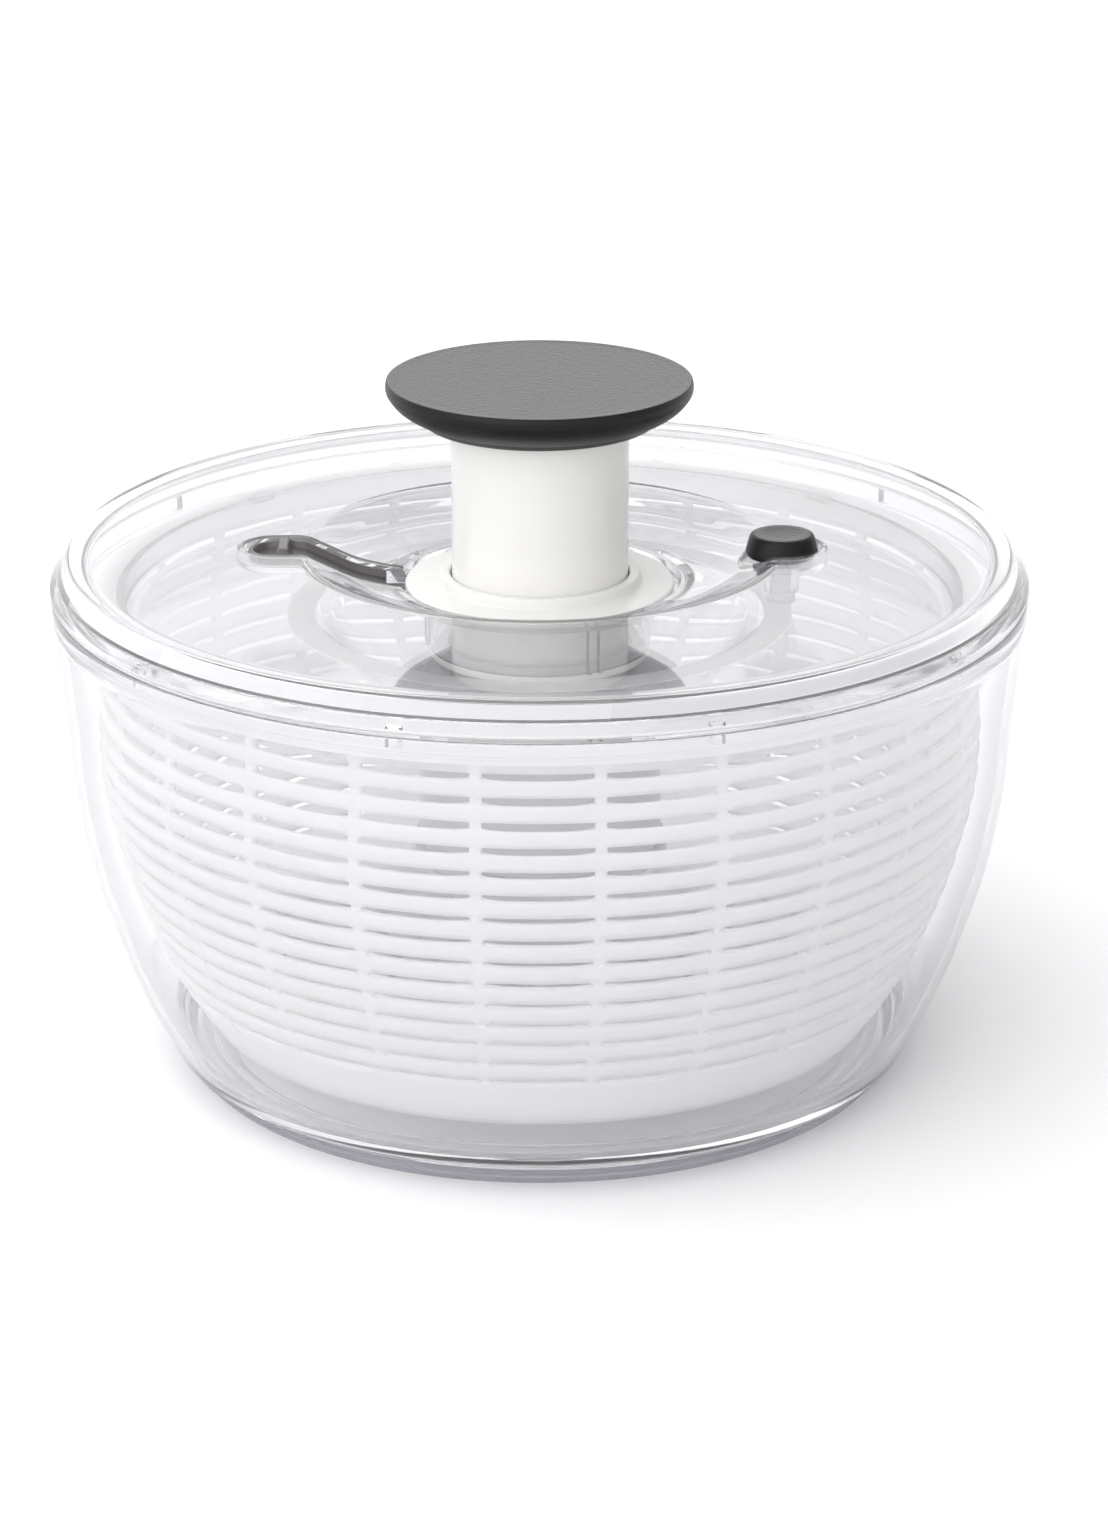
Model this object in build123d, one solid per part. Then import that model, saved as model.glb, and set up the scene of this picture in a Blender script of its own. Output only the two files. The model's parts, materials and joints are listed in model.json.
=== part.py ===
from build123d import *

import os
from math import atan2, cos, pi, radians, sin

# Pump-action salad spinner: a clear bowl, a translucent basket that turns in it, and a clear lid that
# carries a press plunger, a brake button and a plunger lock.
#
# Frame: +Z up, origin at the centre of the base, on the table. -Y is the front, the brake is at +X and the
# lock at -X. Millimetres. Outlines are lists of (radius, height) points, turned about the Z axis.

# ---- Clearances and walls ------------------------------------------------------------------------------
SLIP = 0.1           # between pieces of one body that sit in each other
RUN = 0.3            # between curved faces that move past each other
PRESS = 0.05         # a pin or screw in its own hole
CLEAR_WALL = 2.6     # wall of the bowl
THIN_WALL = 2.0      # wall of the basket and the guide sleeve
DECK_WALL = 2.2      # lid and turntable sheet

# ---- Bowl ----------------------------------------------------------------------------------------------
BOWL_SIDE = [(104.2, 6.7), (108.0, 14), (113.2, 25), (118.8, 40), (124.7, 60), (128.2, 80), (129.7, 100),
             (131.6, 120), (131.85, 129.5)]
BOWL_RIM_R = 132.8
BOWL_TOP = 135.0
FLOOR_TOP = 10.5
FLOOR_R = 97.5       # where the flat floor meets the curve of the wall
FOOT_BOTTOM = 1.5
FOOT_R = 96.8
RING_R = 98.5        # the non-slip ring where it meets the table
RING_INNER_R = 90.0
RING_TOP = 6.5
RING_SKIN = 2.4
PIVOT_R = 5.5
PIVOT_TOP = 15.0
PIVOT_FOOT = 2.0     # sloped foot of the pivot
PIVOT_EDGE = 1.2     # its chamfered top edge

# ---- Pivot cup and basket ------------------------------------------------------------------------------
CUP_R = 8.0
CUP_BOTTOM = 12.8
CUP_ROOF = 1.8
BASKET_BOTTOM = 16.0
BASKET_SIDE = [(94.75, 16), (100.4, 25), (107.5, 40), (114.7, 60), (119.2, 80), (120.8, 100), (119.6, 115),
               (119.9, 126), (121.0, 131)]
BASKET_TOP = 133.0
BASKET_LIP_R = 116.0
SLOT_ROWS = 15
SLOT_FIRST_Z = 31.8
SLOT_PITCH = 6.43
SLOT_HEIGHT = 2.2
RIBS = 24
RIB_WIDTH = 2.7
FLOOR_SLOT_RADII = [30, 41, 52, 63, 74, 85]
FLOOR_SLOT_WIDTH = 2.4

# ---- Lid -----------------------------------------------------------------------------------------------
DECK_TOP = 144.6
RIDGE_R = 128.1
RIDGE_TOP = 145.2
RIDGE_FOOT = 4.5               # how far inside its edge the ridge rises from the deck
RIDGE_FLAT = 1.2
CREASE_R = 131.0
CREASE_Z = 140.0
LID_R = 133.0
LID_BOTTOM = 135.2
PLUG_R = 128.8
PLUG_WALL = 2.2
PLUG_BOTTOM = 128.5
CLIPS = 10
CLIP_WIDTH = 4.0
FIRST_CLIP = -70.0             # degrees from +X
DISH = [(38.5, 135.5), (50.0, 138.0), (58.0, 141.5), (64.4, DECK_TOP)]
DISH_SLOPES = [Vector(1, 0, 0.12), Vector(1, 0, 0.5)]      # at its inner and outer edge
SEAT_R = 38.5
SEAT_TOP = 133.0

# ---- Plunger column ------------------------------------------------------------------------------------
TRAVEL = 38.0
TUBE_R = 24.2
TUBE_WALL = 3.2
TUBE_BOTTOM = 114.0
TUBE_TOP = 178.2
TUBE_ROOF = 2.2
COLLAR_R = 36.8
COLLAR_TOP = 134.8
COLLAR_BORE = 24.5
SPIGOT_R = 27.2
SPIGOT_BOTTOM = 128.0
COLLAR_RING_TOP = 137.6
SLEEVE_BORE = 28.3
SLEEVE_BOTTOM = 114.9
SLEEVE_RIBS = (-64, -58)       # each of three pairs of ribs starts here, in degrees from +X
RIB = (1.2, 1.2)               # how far a rib stands out, and its width
WELD = 0.5                     # how far an added feature runs into the wall it stands on
KEY_WIDTH = 4.0
KEY_DEPTH = 1.4
LOCK_GROOVE_WIDTH = 9.0
LOCK_GROOVE_DEPTH = 2.2
LOCK_GROOVE = (125.0, 171.0)
KNOB_R = 41.5
KNOB_TOP = 191.4
KNOB_SIDE = [(26.5, 178.4), (33.0, 180.0), (38.2, 183.6), (41.0, 187.4), (KNOB_R, 189.6), (41.3, 190.9)]
KNOB_EDGE = 0.5
BASE_R = 37.5
BASE_FOOT_R = 31.5
BASE_SIDE_Z = 184.2
BASE_TOP = 188.4

# ---- Drive ---------------------------------------------------------------------------------------------
LEAD = 25.0                    # travel for one turn of the spindle, right-handed
BLADE = (9.0, 4.0)             # the twisted bar's section
BLADE_CLEARANCE = 0.35
BLADE_BOTTOM = 70.0
BLADE_TOP = 122.0
NUT_BOTTOM = 114.2
NUT_HEIGHT = 5.0
JOURNAL_R = 5.0
JOURNAL_BOTTOM = 61.0
PIN_R = 3.3
PIN_BOTTOM = 57.2
STOP_R = 10.0
STOP_TOP = 124.0
STOP_STUD = (5.8, 3.0)         # radius and height of the stud that centres the spring
SPRING_R = 8.0
SPRING_WIRE = 1.4
SPRING_TURNS = 9

# ---- Rotor ---------------------------------------------------------------------------------------------
NECK_BORE = 24.9
NECK_R = 26.6
NECK_TOP = 117.0
NECK_FLANGE_R = 28.0
NECK_FLANGE_BOTTOM = 115.0
BEARING_BOTTOM = 112.8
CONE_R = 39.5
CONE_EDGE = (102.5, 104.5)
CONE_NOTCHES = 40
NOTCH = (0.9, 1.6)             # depth and width
DRUM_R = 33.5
DRUM_WALL = 2.0
DRUM_BOTTOM = 60.5
CAP_R = 35.5
CAP_BOTTOM = 57.5
CLUTCH = (61.5, 68.5)
CLUTCH_TEETH = 12
CLUTCH_TIP_R = 24.4
CLUTCH_ROOT_R = 26.8
TOOTH_STEP = 0.08              # share of a tooth's pitch that its steep side takes
FINGER_R = 24.0
FINGER_TIP = (-24.0, -18.5)    # the two corners of a finger's tip, in degrees round the hub
HUB_R = 12.0
PLATE_TOP = 124.3
PLATE_RIM_R = 115.3
PLATE_RIM_TOP = 132.8
BRAKE_RING = (61.4, 69.0)
BRAKE_RING_TOP = 124.8
TABS = 4
TAB_WIDTH = 8.0
TAB_R = 118.6
TAB_TURN = 45.0                # where round the axis the first tab stands

# ---- Brake ---------------------------------------------------------------------------------------------
BRAKE_X = 66.0
BRAKE_TRAVEL = 2.0
WELL_R = 10.8
WELL_WALL = 1.6
WELL_FLOOR = (137.5, 139.3)
BOSS_R = 4.8
BOSS_BOTTOM = 129.8
STEM_R = 2.7
STEM_TOP = 145.2
STEM_FOOT_R = 3.9
PAD_BOTTOM = BRAKE_RING_TOP + BRAKE_TRAVEL + SLIP      # pressed, the pad just clears the ring
BRAKE_SPRING_R = 5.6
BRAKE_WIRE = 0.7
BRAKE_TURNS = 4
BUTTON_TOP = 148.0
BUTTON_ROOF = 146.0            # underside of its top
BUTTON_FLARE = (10.0, 142.8, 143.6)
BUTTON_SKIRT = (9.4, 7.8)
BUTTON_SOCKET_R = 4.3
PAD_THICKNESS = 1.35
BUTTON_BOTTOM = 141.8

# ---- Lock ----------------------------------------------------------------------------------------------
LOCK_TRAVEL = 3.8
LOCK_END_X = -72.2             # centre of the round end of the slot
LOCK_SLOT_R = 8.5
LOCK_INNER_X = -37.2
LOCK_WELL_WALL = 1.8
LOCK_WELL_DEPTH = 7.2
LEVER_R = 7.2
LEVER_NOSE_X = -42.6
LEVER_DROP = (1.0, 4.9)        # the lever's top and underside below the lid's surface
LEVER_SIDE = 1.3               # its side walls, beside the gutter in its top
GUTTER_DEPTH = 1.6
FIN_X = (-71.0, -68.8)
FIN_WIDTH = 8.4
FIN_TOP = 145.0
TIP_X = -26.4
TIP_WIDTH = 7.0
TIP_Z = (131.0, 132.7)


# ---- Fasteners and bush --------------------------------------------------------------------------------
SCREWS = 3
SCREW_TURN = 90.0              # where round the axis the first screw of a set stands, in degrees from +X
SCREW_R = 1.4
SCREW_HEAD_R = 2.6
SCREW_HEAD = 1.6
CAP_SCREW_R = 29.2             # how far from the axis the cap's screws stand
CAP_SCREW_TIP = 67.0
KNOB_SCREW_R = 15.5
KNOB_SCREW_TIP = 185.0
BUSH_R = 6.0


# ---- Helpers -------------------------------------------------------------------------------------------
def turned(outline):
    """A ring or disc: straight-sided (radius, height) points turned once about Z."""
    return revolve(make_face(Polyline(*[(r, 0, z) for r, z in outline], close=True)), Axis.Z)


def turned_curve(curve, rest):
    """As turned, with a smooth curve through the first list of points and straight edges through the rest."""
    smooth = Spline(*[(r, 0, z) for r, z in curve])
    straight = Polyline(*[(r, 0, z) for r, z in [curve[-1], *rest, curve[0]]])
    return revolve(make_face(smooth + straight), Axis.Z)


def tube(outer, inner, bottom, top):
    """A plain ring, or a disc where inner is 0."""
    return turned([(inner, bottom), (outer, bottom), (outer, top), (inner, top)])


def rod(x, y, radius, bottom, top):
    """An upright round bar."""
    return Pos(x, y, bottom) * extrude(Circle(radius), top - bottom)


def block(x_range, y_range, z_range):
    """A box between two limits along each axis."""
    spans = [high - low for low, high in (x_range, y_range, z_range)]
    middle = [(high + low) / 2 for low, high in (x_range, y_range, z_range)]
    return Pos(*middle) * Box(*spans)


def around(part, count, first=0.0):
    """The same piece repeated evenly about Z, as a list."""
    return [Rot(0, 0, first + 360 * i / count) * part for i in range(count)]


def inward(points, distance):
    """The points of a smooth outline moved towards its inside by a wall, square to the outline."""
    moved = []
    for i, (r, z) in enumerate(points):
        before, after = points[max(i - 1, 0)], points[min(i + 1, len(points) - 1)]
        slope = atan2(after[1] - before[1], after[0] - before[0])
        moved.append((r - distance * sin(slope), z + distance * cos(slope)))
    return moved


def lid_band(above, below):
    """The lid's top surface given a thickness: everything from above it to below it, out to the ridge."""
    upper = [(r, z + above) for r, z in DISH]
    lower = [(r, z - below) for r, z in reversed(DISH)]
    sheet = Polyline((SEAT_R, 0, DISH[0][1] - below), (SEAT_R, 0, DISH[0][1] + above))
    sheet += Spline(*[(r, 0, z) for r, z in upper], tangents=DISH_SLOPES)
    sheet += Polyline((DISH[-1][0], 0, DECK_TOP + above), (RIDGE_R, 0, DECK_TOP + above),
                      (RIDGE_R, 0, DECK_TOP - below), (DISH[-1][0], 0, DECK_TOP - below))
    sheet += Spline(*[(r, 0, z) for r, z in lower], tangents=[-slope for slope in reversed(DISH_SLOPES)])
    return revolve(make_face(sheet), Axis.Z)


def long_hole(radius, inner_x, bottom=120.0, top=150.0):
    """An upright prism with the outline of the lock's slot: a round outer end and straight sides."""
    return rod(LOCK_END_X, 0, radius, bottom, top) + block((LOCK_END_X, inner_x), (-radius, radius),
                                                           (bottom, top))


def coil(radius, wire, bottom, top, turns):
    """A round-wire compression spring whose outside ends lie at bottom and top."""
    height = top - bottom - wire
    path = Helix(height / turns, height, radius, center=(0, 0, bottom + wire / 2))
    section = Plane(origin=path @ 0, z_dir=path % 0) * Circle(wire / 2)
    return sweep(section, path, is_frenet=True)


def screw(radius, head_radius, head_bottom, head_height, tip):
    """A pan-head screw that points up, at (radius, 0)."""
    return rod(radius, 0, head_radius, head_bottom, head_bottom + head_height) + rod(
        radius, 0, SCREW_R, head_bottom + head_height, tip)


# ---- Bowl body -----------------------------------------------------------------------------------------
def bowl():
    """One moulding: side wall, rim band, floor, foot and the pivot that the basket turns on."""
    inner = inward(BOWL_SIDE, CLEAR_WALL)[1:]
    outer = Spline(*[(r, 0, z) for r, z in BOWL_SIDE])
    rim = Polyline((*BOWL_SIDE[-1][:1], 0, BOWL_SIDE[-1][1]), (BOWL_RIM_R, 0, BOWL_SIDE[-1][1]),
                   (BOWL_RIM_R, 0, BOWL_TOP), (inner[-1][0], 0, BOWL_TOP), (inner[-1][0], 0, inner[-1][1]))
    wall = Spline(*[(r, 0, z) for r, z in reversed(inner)], (FLOOR_R, 0, FLOOR_TOP),
                  tangents=[(0, 0, -1), (-1, 0, 0)])
    floor = Polyline((FLOOR_R, 0, FLOOR_TOP), (PIVOT_R + PIVOT_FOOT, 0, FLOOR_TOP),
                     (PIVOT_R, 0, FLOOR_TOP + PIVOT_FOOT), (PIVOT_R, 0, PIVOT_TOP - PIVOT_EDGE),
                     (PIVOT_R - PIVOT_EDGE, 0, PIVOT_TOP), (0, 0, PIVOT_TOP),
                     (0, 0, FLOOR_TOP - CLEAR_WALL), (FOOT_R - CLEAR_WALL, 0, FLOOR_TOP - CLEAR_WALL),
                     (FOOT_R - CLEAR_WALL, 0, FOOT_BOTTOM), (FOOT_R, 0, FOOT_BOTTOM),
                     (BOWL_SIDE[0][0] - RING_SKIN, 0, RING_TOP + 0.2), (BOWL_SIDE[0][0], 0, BOWL_SIDE[0][1]))
    return revolve(make_face(outer + rim + wall + floor), Axis.Z)


def non_slip_ring():
    """A soft ring stretched round the foot: it lies under it and wraps up round its outside."""
    skin_foot = FOOT_R + SLIP
    skin_top = BOWL_SIDE[0][0] - RING_SKIN + SLIP
    return turned([(RING_INNER_R, 0), (RING_R, 0), (101.0, 2.9), (103.0, 5.2), (104.0, RING_TOP),
                   (skin_top, RING_TOP), (skin_foot, FOOT_BOTTOM - SLIP),
                   (RING_INNER_R, FOOT_BOTTOM - SLIP)])


# ---- Basket --------------------------------------------------------------------------------------------
def pivot_cup():
    """A hard-wearing cup between the bowl's pivot and the basket's socket."""
    bore = PIVOT_R + RUN
    roof = PIVOT_TOP + RUN
    return turned([(0, roof), (bore, roof), (bore, CUP_BOTTOM), (CUP_R, CUP_BOTTOM), (CUP_R, roof + CUP_ROOF),
                   (0, roof + CUP_ROOF)])


def slot_ring(inner, outer, bottom, top):
    """A ring that is cut across where the ribs stand, as a list of separate slots."""
    ring = tube(outer, inner, bottom, top)
    for i in range(RIBS // 2):
        turn = 180 / RIBS + 360 * i / RIBS
        ring -= Rot(0, 0, turn) * Box(3 * outer, RIB_WIDTH, 3 * top)
    return ring.solids()


def basket():
    """A bowl of slots: solid bands at the bottom and top, and ribs between rows of narrow slots."""
    inner = inward(BASKET_SIDE, THIN_WALL)
    floor_top = BASKET_BOTTOM + THIN_WALL
    socket = CUP_R + RUN
    roof = PIVOT_TOP + 2 * RUN + CUP_ROOF
    outer_side = Spline(*[(r, 0, z) for r, z in BASKET_SIDE])
    lip = Polyline((BASKET_SIDE[-1][0], 0, BASKET_SIDE[-1][1]), (BASKET_SIDE[-1][0], 0, BASKET_TOP),
                   (BASKET_LIP_R, 0, BASKET_TOP), (BASKET_LIP_R, 0, BASKET_TOP - THIN_WALL),
                   (inner[-2][0], 0, inner[-2][1]))
    inner_side = Spline(*[(r, 0, z) for r, z in reversed(inner[1:-1])], (BASKET_SIDE[0][0] - 1, 0, floor_top))
    floor = Polyline((BASKET_SIDE[0][0] - 1, 0, floor_top), (socket + THIN_WALL, 0, floor_top),
                     (socket + THIN_WALL, 0, roof + THIN_WALL), (0, 0, roof + THIN_WALL), (0, 0, roof),
                     (socket, 0, roof), (socket, 0, CUP_BOTTOM + 1), (socket + THIN_WALL, 0, CUP_BOTTOM + 1),
                     (socket + THIN_WALL, 0, BASKET_BOTTOM), (BASKET_SIDE[0][0], 0, BASKET_BOTTOM))
    body = revolve(make_face(outer_side + lip + inner_side + floor), Axis.Z)
    slots = []
    for row in range(SLOT_ROWS):
        middle = SLOT_FIRST_Z + row * SLOT_PITCH
        slots += slot_ring(BASKET_SIDE[0][0], BOWL_TOP, middle - SLOT_HEIGHT / 2, middle + SLOT_HEIGHT / 2)
    for radius in FLOOR_SLOT_RADII:
        slots += slot_ring(radius, radius + FLOOR_SLOT_WIDTH, BASKET_BOTTOM - 1, floor_top + 1)
    play = 2 * RUN
    notch = block((BASKET_LIP_R - 1, TAB_R + play), (-TAB_WIDTH / 2 - play, TAB_WIDTH / 2 + play),
                  (BASKET_TOP - THIN_WALL - play, BASKET_TOP + 1))
    return body - slots - around(notch, TABS, TAB_TURN)


# ---- Lid -----------------------------------------------------------------------------------------------
def lid_cover():
    """The clear moulding: deck, sunken dish, seat for the collar, lock slot, brake well and rim ridge."""
    sheet = lid_band(0, DECK_WALL)
    rim = turned([(RIDGE_R - RIDGE_FOOT, DECK_TOP - DECK_WALL), (RIDGE_R - RIDGE_FOOT, DECK_TOP),
                  (RIDGE_R - RIDGE_FLAT, RIDGE_TOP), (RIDGE_R, RIDGE_TOP), (CREASE_R, CREASE_Z),
                  (CREASE_R - DECK_WALL, CREASE_Z)])
    seat = turned([(SPIGOT_R + RUN, SEAT_TOP - DECK_WALL), (SEAT_R + DECK_WALL, SEAT_TOP - DECK_WALL),
                   (SEAT_R + DECK_WALL, DISH[0][1] - 1), (SEAT_R, DISH[0][1]), (SEAT_R, SEAT_TOP),
                   (SPIGOT_R + RUN, SEAT_TOP)])
    cover = sheet + rim + seat

    well_r = LOCK_SLOT_R + LOCK_WELL_WALL
    cover += lid_band(0, LOCK_WELL_DEPTH) & long_hole(well_r, LOCK_INNER_X - LOCK_WELL_WALL)
    cover -= lid_band(WELL_R, LOCK_WELL_DEPTH - LOCK_WELL_WALL) & long_hole(LOCK_SLOT_R, LOCK_INNER_X)
    cover -= block((LOCK_INNER_X - DECK_WALL, -SPIGOT_R), (-TIP_WIDTH / 2 - RUN, TIP_WIDTH / 2 + RUN),
                   (TIP_Z[0] - RUN, COLLAR_TOP))

    outer_r = WELL_R + WELL_WALL
    cover += rod(BRAKE_X, 0, outer_r, WELL_FLOOR[0], DECK_TOP) & lid_band(0, WELL_R)
    cover += rod(BRAKE_X, 0, BOSS_R, BOSS_BOTTOM, WELL_FLOOR[1])
    cover -= rod(BRAKE_X, 0, WELL_R, WELL_FLOOR[1], RIDGE_TOP)
    cover -= rod(BRAKE_X, 0, STEM_R + RUN, BOSS_BOTTOM - 1, RIDGE_TOP)
    return cover


def lid_ring():
    """The separate rim band: it carries the plug that centres the lid in the bowl."""
    inner = PLUG_R - PLUG_WALL
    band = turned([(inner, CREASE_Z - SLIP), (inner, PLUG_BOTTOM), (PLUG_R, PLUG_BOTTOM),
                   (PLUG_R, LID_BOTTOM), (LID_R - WELD, LID_BOTTOM), (LID_R, LID_BOTTOM + 1.4),
                   (LID_R, LID_BOTTOM + 2.2), (CREASE_R, CREASE_Z - SLIP)])
    clip = block((inner - 1, inner + PLUG_WALL / 2), (-CLIP_WIDTH / 2, CLIP_WIDTH / 2),
                 (LID_BOTTOM - CLIP_WIDTH, LID_BOTTOM))
    return band - around(clip, CLIPS, FIRST_CLIP)


def collar():
    """The white bearing in the lid that the plunger slides in, with a key that stops it turning."""
    body = turned([(COLLAR_BORE, SPIGOT_BOTTOM), (SPIGOT_R, SPIGOT_BOTTOM), (SPIGOT_R, SEAT_TOP + SLIP),
                   (COLLAR_R, SEAT_TOP + SLIP), (COLLAR_R, COLLAR_TOP - WELD), (COLLAR_R - WELD, COLLAR_TOP),
                   (SPIGOT_R + WELD, COLLAR_TOP), (SPIGOT_R, COLLAR_RING_TOP - WELD),
                   (SPIGOT_R - WELD, COLLAR_RING_TOP), (COLLAR_BORE, COLLAR_RING_TOP)])
    body += block((-KEY_WIDTH / 2, KEY_WIDTH / 2), (TUBE_R - KEY_DEPTH, COLLAR_BORE + WELD),
                  (SPIGOT_BOTTOM, COLLAR_TOP))
    window = block((-SPIGOT_R - 1, -TUBE_R + TUBE_WALL), (-TIP_WIDTH / 2 - RUN, TIP_WIDTH / 2 + RUN),
                   (TIP_Z[0] - RUN, SEAT_TOP))
    return body - window


def guide_sleeve():
    """A clear tube below the deck, with outside ribs, that the bearing ring hangs from."""
    outer = SLEEVE_BORE + THIN_WALL
    sleeve = tube(outer, SLEEVE_BORE, SLEEVE_BOTTOM, SEAT_TOP - DECK_WALL - SLIP)
    rib = block((outer - WELD, outer + RIB[0]), (-RIB[1] / 2, RIB[1] / 2),
                (SLEEVE_BOTTOM, SEAT_TOP - DECK_WALL - SLIP))
    for first in SLEEVE_RIBS:
        for one in around(rib, SCREWS, first):
            sleeve += one
    return sleeve


def bearing_ring():
    """The ring under the sleeve that the rotor's neck turns in and hangs by its flange."""
    return tube(SLEEVE_BORE + THIN_WALL, NECK_R + RUN, BEARING_BOTTOM, SLEEVE_BOTTOM - SLIP)


def brake_spring():
    """Lifts the brake button off its well."""
    return Pos(BRAKE_X, 0, 0) * coil(BRAKE_SPRING_R, BRAKE_WIRE, WELL_FLOOR[1] + SLIP, BUTTON_ROOF - 2 * SLIP,
                                     BRAKE_TURNS)


# ---- Brake ---------------------------------------------------------------------------------------------
def brake_button():
    """A soft dark button with a dished top, a flared skirt and a socket for its stem."""
    flare_r, flare_bottom, flare_top = BUTTON_FLARE
    outer, inner = BUTTON_SKIRT
    bore = STEM_R + PRESS
    body = turned([(0, BUTTON_TOP - 0.5), (6.6, BUTTON_TOP), (7.8, BUTTON_TOP - 0.3), (flare_r, flare_top),
                   (flare_r, flare_bottom), (outer, flare_bottom), (outer, BUTTON_BOTTOM),
                   (inner, BUTTON_BOTTOM), (7.0, BUTTON_ROOF), (BUTTON_SOCKET_R, BUTTON_ROOF),
                   (BUTTON_SOCKET_R, BUTTON_BOTTOM), (bore, BUTTON_BOTTOM), (bore, STEM_TOP + PRESS),
                   (0, STEM_TOP + PRESS)])
    return Pos(BRAKE_X, 0, 0) * body


def brake_stem():
    """The pin that carries the button's push through the lid to the pad."""
    foot_top = BOSS_BOTTOM - RUN
    foot_bottom = PAD_BOTTOM + PAD_THICKNESS + PRESS
    return Pos(BRAKE_X, 0, 0) * turned([(0, foot_bottom), (STEM_FOOT_R, foot_bottom), (STEM_FOOT_R, foot_top),
                                        (STEM_R, foot_top), (STEM_R, STEM_TOP), (0, STEM_TOP)])


def brake_pad():
    """The soft pad that rubs on the turntable's ring."""
    return rod(BRAKE_X, 0, STEM_FOOT_R, PAD_BOTTOM, PAD_BOTTOM + PAD_THICKNESS)


# ---- Lock ----------------------------------------------------------------------------------------------
def lock_lever():
    """A slide that follows the lid's surface, with a raised thumb fin and a tip that enters the plunger."""
    top, bottom = LEVER_DROP
    lever = lid_band(-top, bottom) & long_hole(LEVER_R, LEVER_NOSE_X)
    lever -= lid_band(bottom, top + GUTTER_DEPTH) & long_hole(LEVER_R - LEVER_SIDE, LEVER_NOSE_X + 1)
    fin = block(FIN_X, (-FIN_WIDTH / 2, FIN_WIDTH / 2), (DECK_TOP - bottom + WELD, FIN_TOP))
    tip = block((LEVER_NOSE_X - WELD, TIP_X), (-TIP_WIDTH / 2, TIP_WIDTH / 2), TIP_Z)
    return lever + fin + tip


# ---- Plunger -------------------------------------------------------------------------------------------
def knob_pad():
    """The soft skin of the knob."""
    skin = turned_curve(KNOB_SIDE, [(KNOB_R - KNOB_EDGE, KNOB_TOP), (0, KNOB_TOP), (0, KNOB_SIDE[0][1])])
    return skin - turned([(0, TUBE_TOP), (BASE_FOOT_R + PRESS, TUBE_TOP), (BASE_R + PRESS, BASE_SIDE_Z),
                          (BASE_R + PRESS, BASE_TOP + PRESS), (0, BASE_TOP + PRESS)])


def knob_base():
    """The hard core of the knob, screwed to the top of the tube."""
    core = turned([(0, TUBE_TOP + PRESS), (BASE_FOOT_R - PRESS, TUBE_TOP + PRESS), (BASE_R, BASE_SIDE_Z),
                   (BASE_R, BASE_TOP), (0, BASE_TOP)])
    hole = rod(KNOB_SCREW_R, 0, SCREW_R + PRESS, TUBE_TOP - 1, KNOB_SCREW_TIP + PRESS)
    return core - around(hole, SCREWS, SCREW_TURN)


def plunger_tube():
    """The white column: closed at the top, with a groove for the lock's tip and one for the key."""
    body = turned([(TUBE_R - TUBE_WALL, TUBE_BOTTOM), (TUBE_R - WELD, TUBE_BOTTOM),
                   (TUBE_R, TUBE_BOTTOM + WELD), (TUBE_R, TUBE_TOP), (0, TUBE_TOP),
                   (0, TUBE_TOP - TUBE_ROOF), (TUBE_R - TUBE_WALL, TUBE_TOP - TUBE_ROOF)])
    body -= block((-TUBE_R - 1, -TUBE_R + LOCK_GROOVE_DEPTH), (-LOCK_GROOVE_WIDTH / 2, LOCK_GROOVE_WIDTH / 2),
                  LOCK_GROOVE)
    body -= block((-KEY_WIDTH / 2 - RUN, KEY_WIDTH / 2 + RUN), (TUBE_R - KEY_DEPTH - RUN, TUBE_R + 1),
                  (TUBE_BOTTOM - 1, TUBE_TOP - 2 * TUBE_ROOF))
    hole = rod(KNOB_SCREW_R, 0, SCREW_R + 2 * PRESS, TUBE_TOP - TUBE_ROOF - 1, TUBE_TOP + 1)
    return body - around(hole, SCREWS, SCREW_TURN)


def knob_screws():
    """Three screws from inside the tube into the knob's core."""
    bottom = TUBE_TOP - TUBE_ROOF - SCREW_HEAD
    one = screw(KNOB_SCREW_R, SCREW_HEAD_R, bottom, SCREW_HEAD, KNOB_SCREW_TIP)
    return Compound(around(one, SCREWS, SCREW_TURN))


def twisted_bar(width, thickness, bottom, top):
    """A bar of rounded section that turns once in each lead of its height, right-handed."""
    section = RectangleRounded(width, thickness, thickness * 0.45)
    start = Rot(0, 0, 360 * bottom / LEAD) * section
    return Pos(0, 0, bottom) * Solid.extrude_linear_with_rotation(
        start.face(), center=(0, 0, 0), normal=(0, 0, top - bottom), angle=360 * (top - bottom) / LEAD)


def drive_nut():
    """The disc in the foot of the tube whose twisted hole drives the spindle."""
    clear = 2 * BLADE_CLEARANCE
    disc = tube(TUBE_R - TUBE_WALL - SLIP, 0, NUT_BOTTOM, NUT_BOTTOM + NUT_HEIGHT)
    return disc - twisted_bar(BLADE[0] + clear, BLADE[1] + clear, NUT_BOTTOM - 1, NUT_BOTTOM + NUT_HEIGHT + 1)


# ---- Spindle -------------------------------------------------------------------------------------------
def spindle():
    """The twisted bar with a round journal for the clutch and a pin for its bush."""
    journal = turned([(0, PIN_BOTTOM), (PIN_R, PIN_BOTTOM), (PIN_R, JOURNAL_BOTTOM),
                      (JOURNAL_R, JOURNAL_BOTTOM), (JOURNAL_R, BLADE_BOTTOM), (0, BLADE_BOTTOM)])
    return journal + twisted_bar(*BLADE, BLADE_BOTTOM - WELD, BLADE_TOP)


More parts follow.
